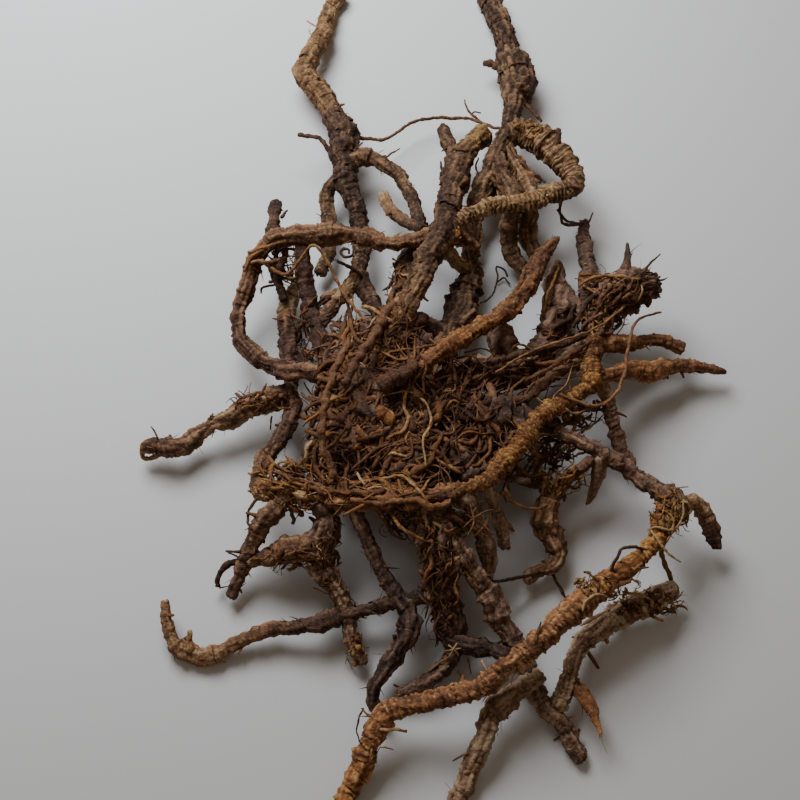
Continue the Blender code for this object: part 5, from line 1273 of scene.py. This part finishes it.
def add_camera():
    """The eye that the routes were read from."""
    lens = bpy.data.cameras.new("camera")
    lens.lens = LENS
    lens.sensor_width = SENSOR
    camera = placed("camera", lens)
    turned = Matrix([RIGHT, UP, -FORWARD]).transposed().to_4x4()
    turned.translation = Vector(EYE)
    camera.matrix_world = turned
    bpy.context.scene.camera = camera


class RhizomeArms(bpy.types.PropertyGroup):
    """How finely the arms are made, and how deep their bark is cut"""
    spacing: FloatProperty(name="Spacing", description="Distance between stations along an arm",
                           default=0.46 * MM, min=0.1 * MM, unit="LENGTH", precision=5)
    side_step: FloatProperty(name="Side step", description="Distance between vertices round an arm",
                             default=0.74 * MM, min=0.2 * MM, unit="LENGTH", precision=5)
    ring_depth: FloatProperty(name="Ring depth", description="How deep the rings are cut",
                              default=0.50 * MM, unit="LENGTH", precision=5)
    fold_depth: FloatProperty(name="Fold depth", description="Height of the lengthwise folds",
                              default=0.62 * MM, unit="LENGTH", precision=5)
    grain_depth: FloatProperty(name="Grain depth", description="Height of the fine roughness",
                               default=0.40 * MM, unit="LENGTH", precision=5)


class RhizomeRootlets(bpy.types.PropertyGroup):
    """How many rootlets, hairs, shreds and stubs there are"""
    amount: FloatProperty(name="Amount", description="Share of the matted rootlets that are made",
                          default=1.0, min=0.1, subtype="FACTOR")
    stations: IntProperty(name="Stations", description="Stations along a matted rootlet", default=14, min=6)
    hairs: IntProperty(name="Hairs", description="Number of fine root hairs on the bark", default=900, min=0)
    shreds: IntProperty(name="Shreds", description="Number of torn bark blades", default=1900, min=0)
    stubs: IntProperty(name="Stubs", description="Number of snapped root stumps", default=300, min=0)


class RhizomeFinish(bpy.types.PropertyGroup):
    """The browns of the bark, from grooves to straw, and its scurf"""
    # Grooves reach the darkest brown partly as painted shade
    darkest: FloatVectorProperty(name="Darkest bark", description="Colour in grooves and dark arms",
                                 default=(0.0340, 0.0152, 0.0096), subtype="COLOR")
    dark: FloatVectorProperty(name="Dark bark", description="Colour of dark arms",
                              default=(0.0720, 0.0312, 0.0176), subtype="COLOR")
    middle: FloatVectorProperty(name="Brown bark", description="Colour of most bark",
                                default=(0.1420, 0.0615, 0.0280), subtype="COLOR")
    warm: FloatVectorProperty(name="Orange bark", description="Colour of fresh orange bark",
                              default=(0.255, 0.1070, 0.0360), subtype="COLOR")
    light: FloatVectorProperty(name="Light bark", description="Colour of light bark",
                               default=(0.3680, 0.2110, 0.0900), subtype="COLOR")
    straw: FloatVectorProperty(name="Straw", description="Colour of pale rootlets and bare crests",
                               default=(0.450, 0.3250, 0.1700), subtype="COLOR")
    scurf: FloatVectorProperty(name="Yellow scurf", description="Colour of the yellow flakes",
                               default=(0.280, 0.1850, 0.0650), subtype="COLOR")


class RhizomeStage(bpy.types.PropertyGroup):
    """The floor and the light"""
    floor_colour: FloatVectorProperty(name="Floor", description="Colour of the plain floor",
                                      default=(0.62, 0.63, 0.64), subtype="COLOR")
    floor_size: FloatProperty(name="Floor size", description="Side of the square floor",
                              default=3.0, unit="LENGTH")
    window_power: FloatProperty(name="Window power", description="Strength of the soft window light",
                                default=4.8, unit="POWER")
    window_size: FloatProperty(name="Window size", description="Side of the soft window light",
                               default=0.34, unit="LENGTH")
    window_distance: FloatProperty(name="Window distance", description="From the clump to the window light",
                                   default=0.55, unit="LENGTH")
    window_height: FloatProperty(name="Window height", description="Angle of the window light over the floor",
                                 default=math.radians(47), unit="ROTATION")
    window_turn: FloatProperty(name="Window turn", description="Angle of the window light from behind",
                               default=math.radians(31), unit="ROTATION")
    window_aim: FloatVectorProperty(name="Window aim", description="Spot that the window light faces",
                                    default=(-0.12, 0.26, 0.0), subtype="XYZ", unit="LENGTH")
    window_colour: FloatVectorProperty(name="Window colour", description="Colour of the soft window light",
                                       default=(0.95, 0.975, 1.0), subtype="COLOR")
    room_colour: FloatVectorProperty(name="Room colour", description="Colour of the even light of the room",
                                     default=(1.0, 0.81, 0.64), subtype="COLOR")
    sky: FloatProperty(name="Room light", description="Strength of the even light of the room",
                       default=0.2, min=0.0)


class RHIZOME_OT_arms(bpy.types.Operator):
    """Make the ringed bark of one group of arms"""
    bl_idname = "rhizome.arms"
    bl_label = "Arms"

    group: EnumProperty(name="Group", description="Which arms to make",
                        items=[(group, group.title(), f"The {group} arms") for group in ARM_GROUPS])

    def execute(self, context):
        names = [name for name in ARMS if FINISH[name][0] == self.group]
        material = bark_material(f"{self.group} bark", *ARM_GROUPS[self.group])
        make_piece(f"{self.group}_arms", [arm_surface(name) for name in names], material)
        return {"FINISHED"}


class RHIZOME_OT_mat(bpy.types.Operator):
    """Make the rootlets that mat over the crown and wherever arms meet"""
    bl_idname = "rhizome.mat"
    bl_label = "Matted rootlets"

    def execute(self, context):
        settings = context.scene.rhizome_rootlets
        material = bark_material("rootlet skin", brightness=1.0, roughness=0.75, saturation=1.0)
        relief = relief_map()
        crown, outer = [], []
        for number, (name, region) in enumerate(TANGLES.items()):
            count = round(settings.amount * region.count)
            piece = crown if name.startswith("mat_") else outer
            piece.append(tangle(region, TANGLE_SEED + number, count, settings.stations, relief))
        make_piece("crown_mat", crown, material)
        make_piece("outer_mat", outer, material)
        return {"FINISHED"}


class RHIZOME_OT_single_roots(bpy.types.Operator):
    """Make the twigs and the rootlets that show on their own"""
    bl_idname = "rhizome.single_roots"
    bl_label = "Single roots"

    def execute(self, context):
        material = bark_material("single root skin", brightness=1.0, roughness=0.7, saturation=0.95)
        relief = relief_map()
        single = [single_root(rows, *ROOT_FINISH.get(name, usual))
                  for routes, usual in ((TWIGS, TWIG_FINISH), (ROOTLETS, ROOTLET_FINISH))
                  for name, rows in routes.items()]
        laid = [laid_root(rows, lift, warmth, flakes, relief)
                for lift, warmth, flakes, rows in LAID_ROOTS.values()]
        arched = [single_root(rows, warmth, flakes, 1.0) for warmth, flakes, rows in ARCHED_ROOTS.values()]
        make_piece("single_roots", single + laid + arched, material)
        return {"FINISHED"}


class RHIZOME_OT_fibres(bpy.types.Operator):
    """Make the hairs, torn bark and root stumps that stand on the arms"""
    bl_idname = "rhizome.fibres"
    bl_label = "Fibres"

    def execute(self, context):
        settings = context.scene.rhizome_rootlets
        material = bark_material("fibre", brightness=1.0, roughness=0.78, saturation=1.0)
        for name, shape, seed, count in (("root_hairs", hairs, HAIR_SEED, settings.hairs),
                                         ("bark_shreds", shreds, SHRED_SEED, settings.shreds),
                                         ("root_stubs", root_stubs, STUB_SEED, settings.stubs)):
            make_piece(name, [shape(np.random.default_rng(seed), count)], material)
        return {"FINISHED"}


class RHIZOME_OT_stage(bpy.types.Operator):
    """Make the plain floor, the soft light and the camera"""
    bl_idname = "rhizome.stage"
    bl_label = "Stage"

    def execute(self, context):
        settings = context.scene.rhizome_stage
        add_floor(settings)
        add_window(settings)
        add_room_light(settings)
        add_camera()
        return {"FINISHED"}


class RHIZOME_PT_panel(bpy.types.Panel):
    """Lists the pieces of the clump and their sizes"""
    bl_idname = "RHIZOME_PT_panel"
    bl_label = "Dried rhizome"
    bl_space_type = "VIEW_3D"
    bl_region_type = "UI"
    bl_category = "Rhizome"

    def draw(self, context):
        layout = self.layout
        for name, kind in SETTINGS.items():
            box = layout.box()
            box.label(text=name.removeprefix("rhizome_").title())
            for setting in kind.__annotations__:
                box.prop(getattr(context.scene, name), setting)
        for group in ARM_GROUPS:
            layout.operator("rhizome.arms", text=f"{group.title()} arms").group = group
        for operator in ("mat", "single_roots", "fibres", "stage"):
            layout.operator(f"rhizome.{operator}")


SETTINGS = {"rhizome_arms": RhizomeArms, "rhizome_rootlets": RhizomeRootlets,
            "rhizome_finish": RhizomeFinish, "rhizome_stage": RhizomeStage}
CLASSES = (*SETTINGS.values(), RHIZOME_OT_arms, RHIZOME_OT_mat, RHIZOME_OT_single_roots,
           RHIZOME_OT_fibres, RHIZOME_OT_stage, RHIZOME_PT_panel)


def register():
    for kind in CLASSES:
        bpy.utils.register_class(kind)
    for name, group in SETTINGS.items():
        setattr(bpy.types.Scene, name, PointerProperty(type=group))


def unregister():
    for name in SETTINGS:
        delattr(bpy.types.Scene, name)
    for kind in reversed(CLASSES):
        bpy.utils.unregister_class(kind)


def main():
    register()
    for group in ARM_GROUPS:
        bpy.ops.rhizome.arms(group=group)
    bpy.ops.rhizome.mat()
    bpy.ops.rhizome.single_roots()
    bpy.ops.rhizome.fibres()
    bpy.ops.rhizome.stage()


if __name__ == "__main__":
    main()
